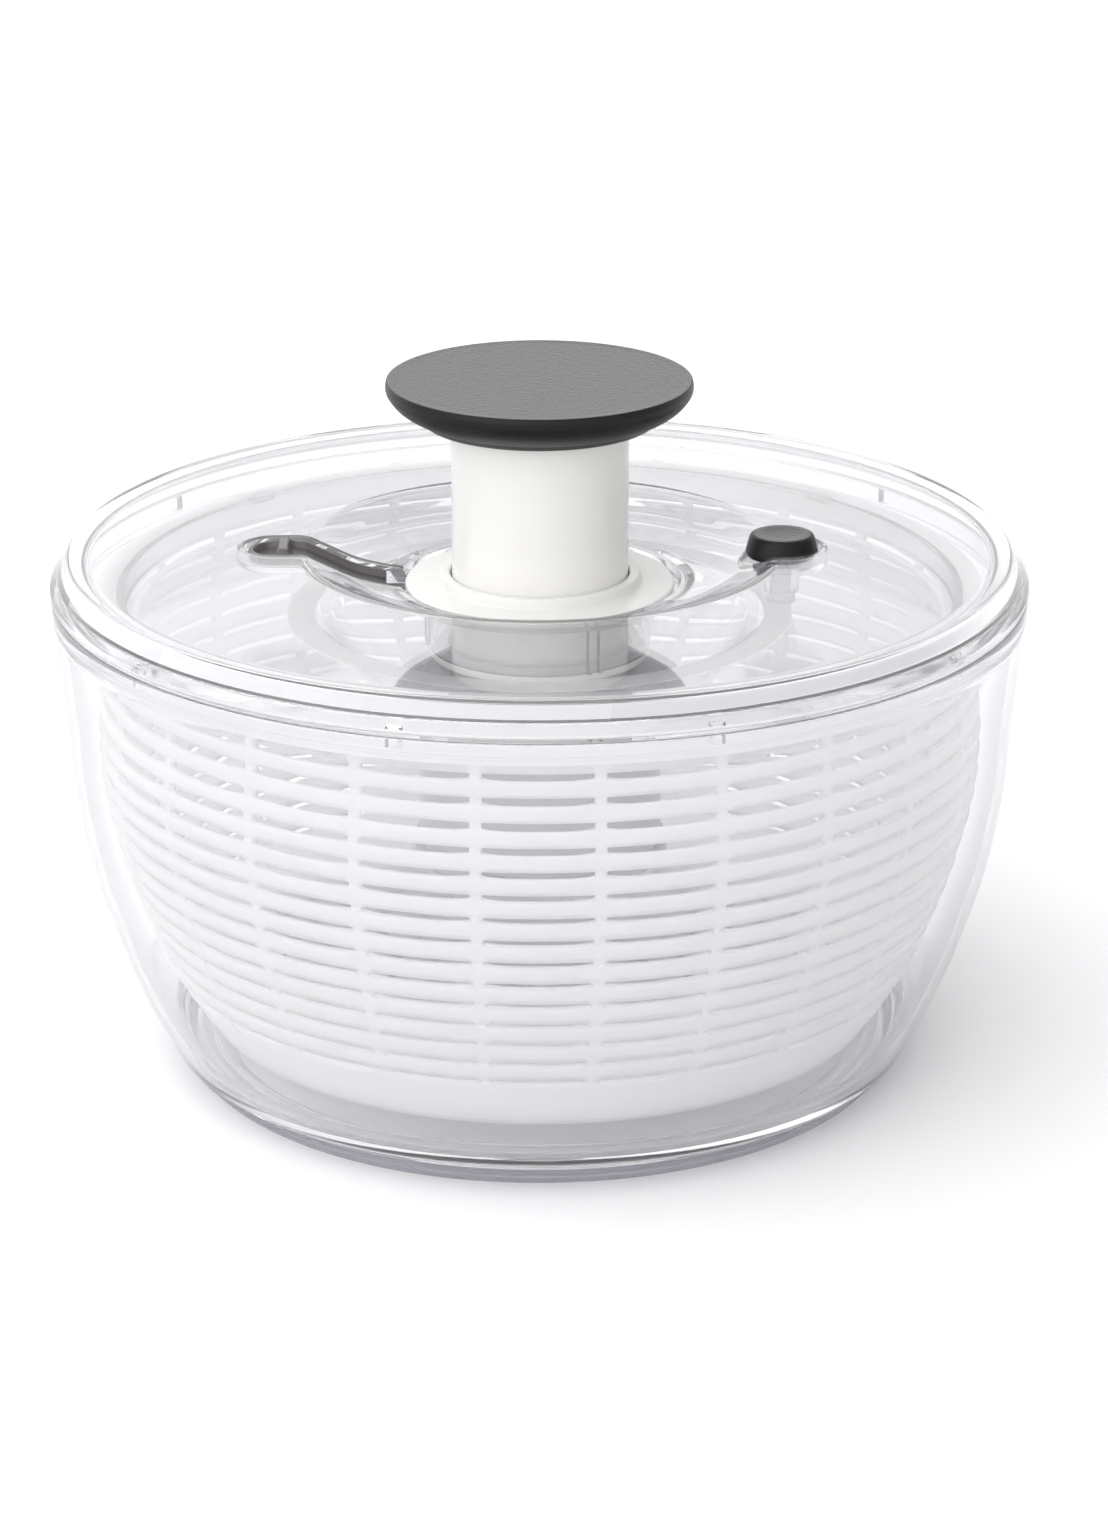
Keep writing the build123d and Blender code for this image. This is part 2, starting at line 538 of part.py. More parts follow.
def spindle_cap():
    """The disc on top of the spindle: it stops the nut at the top and seats the return spring."""
    stud_r, stud_height = STOP_STUD
    return turned([(0, BLADE_TOP + PRESS), (STOP_R, BLADE_TOP + PRESS), (STOP_R, STOP_TOP), (stud_r, STOP_TOP),
                   (stud_r, STOP_TOP + stud_height), (0, STOP_TOP + stud_height)])


def clutch_hub():
    """A ratchet hub on the spindle with curved spring fingers that push the ring one way only."""
    hub = tube(HUB_R, JOURNAL_R + PRESS, *CLUTCH)
    tips = [(FINGER_R * cos(radians(turn)), FINGER_R * sin(radians(turn))) for turn in FINGER_TIP]
    shape = Polyline((9, -2), (11, -4.5), (17, -8), *tips, (17, -5), (11.5, -0.5), close=True)
    finger = Pos(0, 0, CLUTCH[0]) * extrude(make_face(shape), CLUTCH[1] - CLUTCH[0])
    for one in around(finger, SCREWS):
        hub += one
    return hub


def return_spring():
    """Pushes the plunger back up."""
    return coil(SPRING_R, SPRING_WIRE, STOP_TOP + PRESS, TUBE_TOP - TUBE_ROOF - PRESS, SPRING_TURNS)


# ---- Rotor ---------------------------------------------------------------------------------------------
def hub_drum():
    """The grey housing of the drive: a neck in the bearing, a cone with a notched edge, and a drum."""
    inner = DRUM_R - DRUM_WALL
    body = turned([(NECK_BORE, NECK_TOP), (NECK_BORE, 106.5), (inner, 99.5), (inner, DRUM_BOTTOM),
                   (DRUM_R, DRUM_BOTTOM), (DRUM_R, 101.0), (CONE_R, CONE_EDGE[0]), (CONE_R, CONE_EDGE[1]),
                   (NECK_R + 1.0, 111.4), (NECK_R, 112.4), (NECK_R, NECK_FLANGE_BOTTOM),
                   (NECK_FLANGE_R, NECK_FLANGE_BOTTOM), (NECK_FLANGE_R, NECK_TOP)])
    notch = block((CONE_R - NOTCH[0], CONE_R + 1), (-NOTCH[1] / 2, NOTCH[1] / 2),
                  (CONE_EDGE[0] - 1, CONE_EDGE[1] + 1))
    return body - around(notch, CONE_NOTCHES)


def turntable():
    """The clear disc that hangs from the drum and turns the basket by tabs at its rim."""
    inner = DRUM_R + SLIP
    under = PLATE_TOP - DECK_WALL
    body = turned([(inner, 98.2), (42.8, 98.2), (45.2, 100.4), (58.8, 120.4), (61.0, under), (111.6, under),
                   (PLATE_RIM_R, 124.6), (PLATE_RIM_R, PLATE_RIM_TOP), (PLATE_RIM_R - 2, PLATE_RIM_TOP),
                   (PLATE_RIM_R - 2, 126.4), (111.0, PLATE_TOP), (60.0, PLATE_TOP), (57.0, 121.8),
                   (43.2, 101.4), (42.0, 100.4), (inner, 100.4)])
    tab = block((PLATE_RIM_R - 1, TAB_R), (-TAB_WIDTH / 2, TAB_WIDTH / 2), (PLATE_RIM_TOP - 2, PLATE_RIM_TOP))
    for one in around(tab, TABS, TAB_TURN):
        body += one
    return body


def brake_ring():
    """The frosted soft ring on the turntable that the brake pad presses."""
    return tube(BRAKE_RING[1], BRAKE_RING[0], PLATE_TOP + PRESS, BRAKE_RING_TOP)


def clutch_ring():
    """A ring fixed in the drum, with saw teeth inside, that the fingers push."""
    outline = []
    for i in range(CLUTCH_TEETH):
        for radius, share in ((CLUTCH_TIP_R, 0.0), (CLUTCH_ROOT_R, TOOTH_STEP)):
            angle = 2 * pi * (i + share) / CLUTCH_TEETH
            outline.append((radius * cos(angle), radius * sin(angle)))
    height = CLUTCH[1] - CLUTCH[0]
    teeth = Pos(0, 0, CLUTCH[0] - 1) * extrude(make_face(Polyline(*outline, close=True)), height + 2)
    hole = rod(CAP_SCREW_R, 0, SCREW_R + PRESS, CLUTCH[0] - 1, CAP_SCREW_TIP + PRESS)
    return tube(DRUM_R - DRUM_WALL - SLIP, HUB_R, *CLUTCH) - teeth - around(hole, SCREWS, SCREW_TURN)


def drum_cap():
    """Closes the drum from below and carries the spindle's bush."""
    body = turned([(BUSH_R + PRESS, CAP_BOTTOM), (CAP_R - 1, CAP_BOTTOM), (CAP_R, CAP_BOTTOM + 1),
                   (CAP_R, DRUM_BOTTOM - SLIP), (BUSH_R + PRESS, DRUM_BOTTOM - SLIP)])
    hole = rod(CAP_SCREW_R, 0, SCREW_R + 2 * PRESS, CAP_BOTTOM - 1, DRUM_BOTTOM + 1)
    return body - around(hole, SCREWS, SCREW_TURN)


def cap_screws():
    """Three screws that hold the cap to the clutch ring."""
    bottom = CAP_BOTTOM - SCREW_HEAD
    one = screw(CAP_SCREW_R, SCREW_HEAD_R, bottom, SCREW_HEAD, CAP_SCREW_TIP)
    return Compound(around(one, SCREWS, SCREW_TURN))


def spindle_bush():
    """The plain bearing that the spindle's pin turns in."""
    return turned([(0, CAP_BOTTOM - 1.2), (BUSH_R, CAP_BOTTOM - 1.2), (BUSH_R, DRUM_BOTTOM - SLIP),
                   (PIN_R + PRESS, DRUM_BOTTOM - SLIP), (PIN_R + PRESS, PIN_BOTTOM - SLIP),
                   (0, PIN_BOTTOM - SLIP)])


PIECES = [bowl, non_slip_ring, pivot_cup, basket, lid_cover, lid_ring, collar, guide_sleeve, bearing_ring,
          brake_spring, brake_button, brake_stem, brake_pad, lock_lever, knob_pad, knob_base, knob_screws,
          plunger_tube, drive_nut, spindle, spindle_cap, clutch_hub, return_spring, hub_drum, turntable,
          brake_ring, clutch_ring, drum_cap, cap_screws, spindle_bush]

os.makedirs("parts", exist_ok=True)
for piece in PIECES:
    export_step(piece(), f"parts/{piece.__name__}.step")
print(len(PIECES), "pieces written")
print("travels in mm: plunger", TRAVEL, "brake", BRAKE_TRAVEL, "lock", LOCK_TRAVEL)
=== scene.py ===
import json
from math import pi, radians

import bmesh
import bpy
import numpy as np
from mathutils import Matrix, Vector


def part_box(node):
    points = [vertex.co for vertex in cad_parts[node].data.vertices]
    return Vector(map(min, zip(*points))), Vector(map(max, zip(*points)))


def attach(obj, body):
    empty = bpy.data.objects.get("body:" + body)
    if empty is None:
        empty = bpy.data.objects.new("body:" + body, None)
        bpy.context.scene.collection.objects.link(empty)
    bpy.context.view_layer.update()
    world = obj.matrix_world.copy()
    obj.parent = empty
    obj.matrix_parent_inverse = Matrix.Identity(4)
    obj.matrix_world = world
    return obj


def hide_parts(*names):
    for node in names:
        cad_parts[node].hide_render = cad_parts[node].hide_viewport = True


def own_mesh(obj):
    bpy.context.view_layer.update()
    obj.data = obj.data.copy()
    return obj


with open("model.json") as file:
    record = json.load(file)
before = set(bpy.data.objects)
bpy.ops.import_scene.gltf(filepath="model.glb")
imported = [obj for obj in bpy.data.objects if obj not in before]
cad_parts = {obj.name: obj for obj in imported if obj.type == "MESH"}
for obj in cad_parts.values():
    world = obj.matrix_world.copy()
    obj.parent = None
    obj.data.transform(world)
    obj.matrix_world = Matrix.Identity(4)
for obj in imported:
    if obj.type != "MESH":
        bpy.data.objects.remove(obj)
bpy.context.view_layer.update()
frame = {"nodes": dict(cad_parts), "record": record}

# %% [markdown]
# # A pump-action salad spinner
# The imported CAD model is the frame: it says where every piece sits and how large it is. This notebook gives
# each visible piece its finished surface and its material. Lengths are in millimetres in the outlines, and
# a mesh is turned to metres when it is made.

MM = 0.001


# %% [markdown]
# ## Helpers for shapes
# Nearly every piece of a spinner is turned: one outline carried round the axis. An outline is a short list
# of corners, each with the radius that the mould gives its edge, because a real moulding has no knife
# edges, and it is the small round edges that catch the light on clear plastic. Long bellied sides are
# smooth curves through a few points.

# %% Outlines
MOST_OF_SIDE = 0.49                  # a round edge never takes more than this share of a side


def arc_at(before, corner, after, radius, steps=5):
    """The round edge of one corner: a quadratic blend from one side to the other, tangent to both."""
    before, corner, after = (np.array(p, float) for p in (before, corner, after))
    back, ahead = before - corner, after - corner
    cut = min(radius, MOST_OF_SIDE * np.linalg.norm(back), MOST_OF_SIDE * np.linalg.norm(ahead))
    start = corner + back / np.linalg.norm(back) * cut
    end = corner + ahead / np.linalg.norm(ahead) * cut
    t = np.linspace(0, 1, steps)[:, None]
    return (1 - t) ** 2 * start + 2 * t * (1 - t) * corner + t ** 2 * end


def outline(corners):
    """A closed outline from (radius, height, edge radius) corners; an edge radius of 0 keeps the point."""
    parts = []
    for i, (r, z, edge) in enumerate(corners):
        before, after = corners[i - 1][:2], corners[(i + 1) % len(corners)][:2]
        parts.append(arc_at(before, (r, z), after, edge) if edge else np.array([[r, z]], float))
    return np.vstack(parts)


def smooth(points, count):
    """A smooth curve through points: on each span a cubic whose end slopes follow the points either side."""
    p = np.array(points, float)
    slope = np.gradient(p, axis=0)
    t = np.linspace(0, len(p) - 1, count)
    i = np.clip(t.astype(int), 0, len(p) - 2)
    f = (t - i)[:, None]
    a, b, da, db = p[i], p[i + 1], slope[i], slope[i + 1]
    return a + f * da + f ** 2 * (3 * (b - a) - 2 * da - db) + f ** 3 * (2 * (a - b) + da + db)


def offset(points, wall):
    """The same curve moved square to itself by a wall: towards the axis for a side that goes up."""
    p = np.array(points, float)
    step = np.gradient(p, axis=0)
    step /= np.linalg.norm(step, axis=1)[:, None]
    return p + wall * np.column_stack([-step[:, 1], step[:, 0]])


# %% Meshes
def mesh_piece(name, points, faces, angle=35):
    """A mesh object in metres at the origin, smooth but for edges sharper than an angle in degrees."""
    mesh = bpy.data.meshes.new(name)
    mesh.from_pydata((np.asarray(points) * MM).tolist(), [], np.asarray(faces).tolist())
    mesh.validate()
    mesh.update()
    mesh.shade_smooth()
    mesh.set_sharp_from_angle(angle=radians(angle))
    piece = bpy.data.objects.new(name, mesh)
    bpy.context.scene.collection.objects.link(piece)
    return piece


def grid_faces(rows, columns, close_rows, close_columns):
    """The quads of a grid of points, row by row, joined round where a direction closes on itself."""
    cell_rows, cell_columns = rows - (not close_rows), columns - (not close_columns)
    i, j = np.divmod(np.arange(cell_rows * cell_columns), cell_columns)
    up, right = (i + 1) % rows, (j + 1) % columns
    return np.column_stack([i * columns + j, i * columns + right, up * columns + right, up * columns + j])


def turned(name, profile, steps=288, angle=35, swell=0.0, centre=(0.0, 0.0)):
    """A closed outline (r, z) carried round an upright axis: x = r cos a, y = r sin a, z = z.

    swell is added to r: one number for each point of the outline and each angle. Points on the axis close
    to a pole. The outline's signed area says which way it runs, so that the faces point outwards.
    """
    profile = np.asarray(profile, float)
    turn = np.linspace(0, 2 * pi, steps, endpoint=False)
    r, z = profile[:, 0][:, None] + swell, profile[:, 1][:, None]
    points = np.stack([centre[0] + r * np.cos(turn), centre[1] + r * np.sin(turn), z + 0 * turn], axis=-1)
    faces = grid_faces(len(profile), steps, True, True)
    after = np.roll(profile, -1, axis=0)
    if np.sum(profile[:, 0] * after[:, 1] - after[:, 0] * profile[:, 1]) < 0:
        faces = faces[:, ::-1]
    piece = mesh_piece(name, points.reshape(-1, 3), faces, angle)
    if profile[:, 0].min() < 1e-6:
        weld(piece, angle)
    return piece


def weld(piece, angle=35):
    """Merges points that lie on each other and drops the faces that this leaves without an area."""
    bm = bmesh.new()
    bm.from_mesh(piece.data)
    bmesh.ops.remove_doubles(bm, verts=bm.verts, dist=1e-7)
    bmesh.ops.dissolve_degenerate(bm, edges=bm.edges, dist=1e-8)
    bmesh.ops.recalc_face_normals(bm, faces=bm.faces)
    bm.to_mesh(piece.data)
    bm.free()
    piece.data.set_sharp_from_angle(angle=radians(angle))
    return piece


print("helpers for outlines and turned pieces are ready")

# %% Measures from the frame
def reach(node):
    """Outer radius, lowest and highest point of a turned CAD piece, in millimetres."""
    low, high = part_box(node)
    return max(high.x, -low.x, high.y, -low.y) / MM, low.z / MM, high.z / MM


bowl_r, _, bowl_top = reach("bowl")
lid_r = reach("lid_ring")[0]
knob_r, _, knob_top = reach("knob_pad")
print(f"bowl radius {bowl_r:.1f}, lid radius {lid_r:.1f}, knob top {knob_top:.1f} mm")

# %% [markdown]
# ## Materials
# Five plastics make up nearly the whole spinner. Each starts from what the real one is. SAN, a clear
# styrene plastic, is polished in the mould and bends light almost as strongly as glass. Polypropylene, the
# basket's plastic, is never quite clear: it scatters light and glows. The knob is a soft thermoplastic
# elastomer with a fine grain that the mould's etched steel gives it. ABS makes the white column, with a
# gloss like a kitchen appliance's. Acetal, the waxy white one, is used where pieces run on each other.

# %% Material helpers
def hex_colour(text):
    """A linear colour from an sRGB hex value such as #f2efe9."""
    s = np.array([int(text[i:i + 2], 16) for i in (1, 3, 5)]) / 255
    linear = np.where(s <= 0.04045, s / 12.92, ((s + 0.055) / 1.055) ** 2.4)
    return (*linear, 1.0)


def new_material(name):
    """An empty node material with its output and shader nodes."""
    material = bpy.data.materials.new(name)
    material.use_nodes = True
    material.node_tree.nodes.clear()
    output = material.node_tree.nodes.new("ShaderNodeOutputMaterial")
    return material, material.node_tree, output


def add(tree, kind, settings=None, **inputs):
    """Adds a node. settings are its own properties; an input is a value, or an output socket to link."""
    made = tree.nodes.new(kind)
    for key, value in (settings or {}).items():
        setattr(made, key, value)
    for key, value in inputs.items():
        socket = made.inputs[int(key[1:]) if key[1:].isdigit() else key.replace("_", " ")]
        if isinstance(value, bpy.types.NodeSocket):
            tree.links.new(value, socket)
        else:
            socket.default_value = value
    return made


def link(tree, output, shader):
    """Sends a shader to the material's output."""
    tree.links.new(shader.outputs[0], output.inputs["Surface"])


PAINTED_EDGE_SHADE_FROM = 0.62                     # where a wall turns this far away, its painted edge shade begins


def clear_plastic(name, tint, edge, roughness, ior, flow_mm, haze):
    """A clear moulding that bends and mirrors light, and lets the lamps through to what it covers.

    haze is the share that scatters light, and edge is painted shade: the darker colour that a wall is given
    where it turns away, in place of the dark surroundings it would mirror there.
    """
    material, tree, output = new_material(name)
    place = add(tree, "ShaderNodeTexCoord").outputs["Object"]
    ripple = add(tree, "ShaderNodeTexNoise", Vector=place, Scale=1 / (flow_mm * MM), Detail=2.0)
    gloss = add(tree, "ShaderNodeMapRange", Value=ripple.outputs[0], To_Min=roughness * 0.6,
                To_Max=roughness * 1.6)
    # Painted shade: where a wall turns away from view, its colour is mixed towards the darker edge colour.
    facing = add(tree, "ShaderNodeLayerWeight", Blend=0.5).outputs["Facing"]
    edge_shade_share = add(tree, "ShaderNodeMapRange", Value=facing, From_Min=PAINTED_EDGE_SHADE_FROM, From_Max=1.0)
    colour_with_painted_light = add(tree, "ShaderNodeMix", {"data_type": "RGBA"}, Factor=edge_shade_share.outputs[0])
    colour_with_painted_light.inputs[6].default_value, colour_with_painted_light.inputs[7].default_value = hex_colour(tint), hex_colour(edge)
    body = add(tree, "ShaderNodeBsdfPrincipled", Base_Color=colour_with_painted_light.outputs[2], Roughness=gloss.outputs[0],
               IOR=ior, Transmission_Weight=1.0)
    milk = add(tree, "ShaderNodeBsdfTranslucent", Color=hex_colour(tint))
    hazy = add(tree, "ShaderNodeMixShader", _0=haze, _1=body.outputs[0], _2=milk.outputs[0])
    open_to_lamps = add(tree, "ShaderNodeBsdfTransparent", Color=hex_colour("#ffffff"))
    ray = add(tree, "ShaderNodeLightPath")
    both = add(tree, "ShaderNodeMixShader", _0=ray.outputs["Is Shadow Ray"], _1=hazy.outputs[0],
               _2=open_to_lamps.outputs[0])
    link(tree, output, both)
    return material


# %% [markdown]
# ### Clear SAN
# Injection-moulded styrene-acrylonitrile: hard, clear as glass, with a faint cold cast. Where one looks along
# a wall, its colour is darkened to grey: painted shade that stands in for the dark surroundings such a wall
# mirrors. Its index is 1.57. The very faint unevenness of its gloss comes from flow in the mould, so its
# pattern is tens of millimetres wide. A few hundredths of haze lift the darkest edges. The non-slip ring's
# soft plastic is greyer and hazier, and the frosted parts scatter half of the light.

# %% Clear plastics
# Each edge colour below is painted shade at grazing view; the lid's copy is given a darker one than the
# bowl's.
san = clear_plastic("clear_san_polished", "#fdfdfe", "#7c7b86", 0.012, 1.57, 40, 0.035)
san_lid = clear_plastic("clear_san_lid", "#fdfdfe", "#5a5964", 0.012, 1.57, 40, 0.035)
soft_clear = clear_plastic("clear_tpe_satin", "#d2d1d7", "#a09fa8", 0.06, 1.48, 30, 0.4)
frosted = clear_plastic("frosted_san", "#fefefe", "#e8e8ea", 0.42, 1.52, 3, 0.5)
print("clear plastics:", *[m.name for m in (san, san_lid, soft_clear, frosted)])


# %% [markdown]
# ### Milky polypropylene
# The basket's plastic is natural polypropylene: light goes in, scatters and comes out again, so it is
# bright on both sides and never shows a hard shadow. A blend of a rough clear body and a white one that is
# lit from behind gives that. A fine unevenness in thickness makes it a little brighter and darker in
# clouds.

# %% Basket and milky plastics
def milky_plastic(name, tint, clearness, roughness, cloud_mm):
    """Translucent plastic: a share of rough see-through body, the rest white and lit from both sides."""
    material, tree, output = new_material(name)
    place = add(tree, "ShaderNodeTexCoord").outputs["Object"]
    cloud = add(tree, "ShaderNodeTexNoise", Vector=place, Scale=1 / (cloud_mm * MM), Detail=3.0)
    gloss = add(tree, "ShaderNodeMapRange", Value=cloud.outputs[0], To_Min=roughness * 0.8,
                To_Max=roughness * 1.25)
    body = add(tree, "ShaderNodeBsdfPrincipled", Base_Color=hex_colour(tint), Roughness=gloss.outputs[0],
               IOR=1.49, Transmission_Weight=clearness)
    glow = add(tree, "ShaderNodeBsdfTranslucent", Color=hex_colour(tint))
    both = add(tree, "ShaderNodeMixShader", _0=0.5, _1=body.outputs[0], _2=glow.outputs[0])
    link(tree, output, both)
    return material


milky_pp = milky_plastic("natural_polypropylene", "#ffffff", 0.35, 0.32, 25)
milky_pin = milky_plastic("milky_tpe", "#f1f2f4", 0.4, 0.4, 10)
print("milky plastics:", milky_pp.name, milky_pin.name)


# %% [markdown]
# ### Opaque plastics
# The white column is gloss ABS, a little warm beside the clear parts. The knob, the button and the lock are
# dark: the knob's top has a fine etched grain, about a fifth of a millimetre, drawn here at nearly a whole
# one so that it shows. Grain is bump and a little unevenness in gloss. The grained tops of the knob and the
# button are given a lighter black than their sides, painted sheen, and their grain's high points are lighter
# still, painted glints.

# %% Opaque plastics and metal
def moulded(name, colour, roughness, grain_mm, grain_depth, glint_lift=0.0, sheen=0.0, metallic=0.0,
            specular=0.5):
    """An opaque moulding: colour, gloss and a fine grain in bump, whose high points can be lightened as
    painted glints.
    """
    material, tree, output = new_material(name)
    place = add(tree, "ShaderNodeTexCoord").outputs["Object"]
    grain = add(tree, "ShaderNodeTexNoise", Vector=place, Scale=1 / (grain_mm * MM), Detail=3.0,
                Roughness=0.6)
    gloss = add(tree, "ShaderNodeMapRange", Value=grain.outputs[0], To_Min=roughness * 0.85,
                To_Max=min(1.0, roughness * 1.15))
    relief = add(tree, "ShaderNodeBump", Strength=grain_depth, Distance=grain_mm * MM * 0.5,
                 Height=grain.outputs[0])
    dark = hex_colour(colour)
    # Painted glints: the grain's high points are given this lighter colour.
    glint_colour = tuple(min(1.0, c * (1 + glint_lift) + 0.02 * glint_lift) for c in dark[:3]) + (1.0,)
    colour_with_painted_light = add(tree, "ShaderNodeMix", {"data_type": "RGBA"}, Factor=grain.outputs[0])
    colour_with_painted_light.inputs[6].default_value, colour_with_painted_light.inputs[7].default_value = dark, glint_colour
    body = add(tree, "ShaderNodeBsdfPrincipled", Base_Color=colour_with_painted_light.outputs[2], Roughness=gloss.outputs[0],
               Metallic=metallic, Sheen_Weight=sheen, Sheen_Roughness=0.4, Specular_IOR_Level=specular,
               Normal=relief.outputs[0])
    if not metallic:
        body.inputs["IOR"].default_value = 1.5
    link(tree, output, body)
    return material


white_abs = moulded("white_abs_gloss", "#e9e8e4", 0.20, 30, 0.02)
acetal = moulded("acetal_waxy", "#eeeeea", 0.38, 8, 0.05)
# Painted sheen: the tops of the knob and the button are given a lighter black than the sides' material, with
# painted glints on the grain.
black_tpe_painted_sheen = moulded("black_tpe_grained_painted_sheen", "#232225", 0.55, 0.9, 0.9, glint_lift=1.2, sheen=0.4)
black_tpe_side = moulded("black_tpe_satin", "#0f0e10", 0.42, 0.8, 0.12, specular=0.25)
dark_abs = moulded("dark_grey_abs_satin", "#2b292b", 0.36, 0.6, 0.12)
warm_abs = moulded("warm_grey_abs_satin", "#565253", 0.25, 0.6, 0.10)
grey_abs = moulded("grey_abs_satin", "#c4c4c8", 0.30, 1.0, 0.1)
spring_steel = moulded("spring_steel_drawn", "#c9c9cc", 0.28, 0.5, 0.1, metallic=1.0)
print(len(bpy.data.materials), "materials")


# %% [markdown]
# ## Putting a piece in its place
# Each finished piece rides on the body that it belongs to, stands for its CAD node, which is hidden, and
# takes its materials. One helper does this, so that no piece is left behind when the spinner moves.

# %% Dressing helpers
body_of = {node: body for body, nodes in frame["record"]["behaviour"]["bodies"].items() for node in nodes}


def dress(piece, node, *materials):
    """Gives a new piece its materials and lets it stand for a CAD node on that node's body."""
    for material in materials:
        piece.data.materials.append(material)
    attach(piece, body_of[node])
    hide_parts(node)
    print(f"{piece.name}: {len(piece.data.polygons)} faces, rides on {body_of[node]}")
    return piece


def paint_where(piece, chosen):
    """Gives the second material to the faces whose middle points, in millimetres, are chosen."""
    middle = np.empty(len(piece.data.polygons) * 3)
    piece.data.polygons.foreach_get("center", middle)
    picked = chosen(*(middle.reshape(-1, 3).T / MM))
    piece.data.polygons.foreach_set("material_index", picked.astype(np.int32))
    print(f"{piece.name}: {picked.sum()} faces in {piece.data.materials[1].name}")


def refinish(node, material):
    """Keeps a CAD piece's shape and gives every slot of it one of the materials above."""
    mesh = frame["nodes"][node].data
    if not mesh.materials:
        mesh.materials.append(material)
    for i in range(len(mesh.materials)):
        mesh.materials[i] = material
    print(f"{node}: CAD shape, {material.name}")


def join(target, *others):
    """Adds other pieces' meshes to a piece: closed shells that touch or lie apart."""
    bm = bmesh.new()
    for piece in (target, *others):
        bm.from_mesh(piece.data)
    bm.to_mesh(target.data)
    bm.free()
    for piece in others:
        bpy.data.objects.remove(piece)
    return target


def carve(target, steps, angle=35):
    """Unites pieces with a target or cuts them from it, one after another, and keeps the resulting mesh."""
    for operation, tool in steps:
        cut = target.modifiers.new("carve", "BOOLEAN")
        cut.operation, cut.object, cut.solver = operation, tool, "EXACT"
        depsgraph = bpy.context.evaluated_depsgraph_get()
        result = bpy.data.meshes.new_from_object(target.evaluated_get(depsgraph))
        target.modifiers.clear()
        result.name = target.name
        target.data = result
        bpy.data.objects.remove(tool)
    target.data.shade_smooth()
    target.data.set_sharp_from_angle(angle=radians(angle))
    even = target.modifiers.new("even_normals", "WEIGHTED_NORMAL")
    even.keep_sharp = True
    print(f"{target.name}: {len(steps)} cuts and additions")
    return target


# %% [markdown]
# ## The bowl
# One SAN moulding: a bellied side that thickens into a rim band, a flat floor, a foot ring, and a short
# pivot for the basket. It is turned as one closed outline, outside and inside together, so that the light
# passes through one real wall of 2.6 mm. That wall makes the lines at its edges, and painted shade, a grey
# given to a wall where it turns away, deepens them.

# %% Bowl
BOWL_WALL = 2.6
BOWL_SIDE = [(104.2, 6.7), (108.0, 14), (113.2, 25), (118.8, 40), (124.7, 60), (128.2, 80), (129.7, 100),
             (131.6, 120), (131.85, 129.5)]
FLOOR = (97.5, 10.5)
PIVOT = (5.5, 15.0)
FOOT = (96.8, 1.5)


def bowl_outline():
    """The bowl's section: up the outside, over the rim band, down the inside and under the floor."""
    outside = smooth(BOWL_SIDE, 70)
    inside = offset(outside, BOWL_WALL)[4:]
    bend = smooth([FLOOR, (100.6, 11.6), (103.4, 15.0), inside[0]], 12)[:-1]
    underside = FLOOR[1] - BOWL_WALL
    return np.vstack([
        outside[1:-1],
        outline([(*outside[-1], 0.6), (bowl_r, 129.5, 0.5), (bowl_r, bowl_top, 0.7),
                 (inside[-1, 0], bowl_top, 0.6), (inside[-1, 0], 130, 0)])[1:],
        inside[::-1], bend[::-1],
        outline([(98, FLOOR[1], 0), (PIVOT[0] + 2, FLOOR[1], 1.0), (PIVOT[0], FLOOR[1] + 2, 0.8),
                 (*PIVOT, 1.2), (0, PIVOT[1], 0), (0, underside, 0), (FOOT[0] - BOWL_WALL, underside, 1.0),
                 (FOOT[0] - BOWL_WALL, FOOT[1], 0.6), (*FOOT, 0.6), (101.8, 6.7, 0.5), (104.2, 6.7, 0.3),
                 (105.5, 9, 0)])[1:-1],
    ])


dress(turned("clear_bowl", bowl_outline(), 320), "bowl", san)

# %% [markdown]
# ## The non-slip ring
# A soft clear ring stretched round the foot. It wraps up round the outside and lies flat under it. Its
# outside has two low beads, which show as fine stacked lines round the base.

# %% Non-slip ring
RING_CORNERS = [(90, 0, 0.3), (98.5, 0, 0.9), (100.4, 2.5, 0.8), (100.0, 3.1, 0.25), (101.1, 3.4, 0.3),
                (102.9, 5.0, 0.8), (102.5, 5.5, 0.25), (104, 6.5, 0.3), (101.9, 6.5, 0.1), (96.9, 1.4, 0.1),
                (90, 1.4, 0.3)]
dress(turned("non_slip_ring_clear", outline(RING_CORNERS), 320), "non_slip_ring", soft_clear)


# %% [markdown]
# ## The basket
# A polypropylene bowl of slots. Fifteen rows of narrow slots run between 24 upright ribs. Each bar between
# two rows leans out towards its top, so that its upper edge is a small ledge that catches the light. The
# floor has rings of slots too. The whole basket is one sheet on a grid: one direction follows the section
# from the socket out and up to the lip, the other goes round. The grid's cells that are slots are left out,
# and Solidify gives the sheet its 2 mm wall.

# %% Basket
BASKET_SIDE = [(94.75, 16), (100.4, 25), (107.5, 40), (114.7, 60), (119.2, 80), (120.8, 100), (119.6, 115),
               (119.9, 126), (121.0, 131)]
BASKET_WALL = 2.0
SLOT_ROWS, SLOT_FIRST_Z, SLOT_PITCH, SLOT_HEIGHT = 15, 31.8, 6.43, 2.2
SLOT_SEEN = (1.0, 1.9)               # the open height between bars, at the bottom row and at the top row
FLOOR_SLOTS, FLOOR_SLOT_WIDTH = (30, 41, 52, 63, 74, 85), 2.4
RIBS, RIB_WIDTH, BULGE = 24, 2.7, 1.2
BASKET_FLOOR, HUB_R, FLOOR_R = 16.0, 9.3, 92.5
BAR_SHARES = (0.25, 0.5, 0.72, 0.9, 1.0)     # how far up a bar each of its points lies
ABOVE_SLOTS = (125.0, 128.0, 130.2)


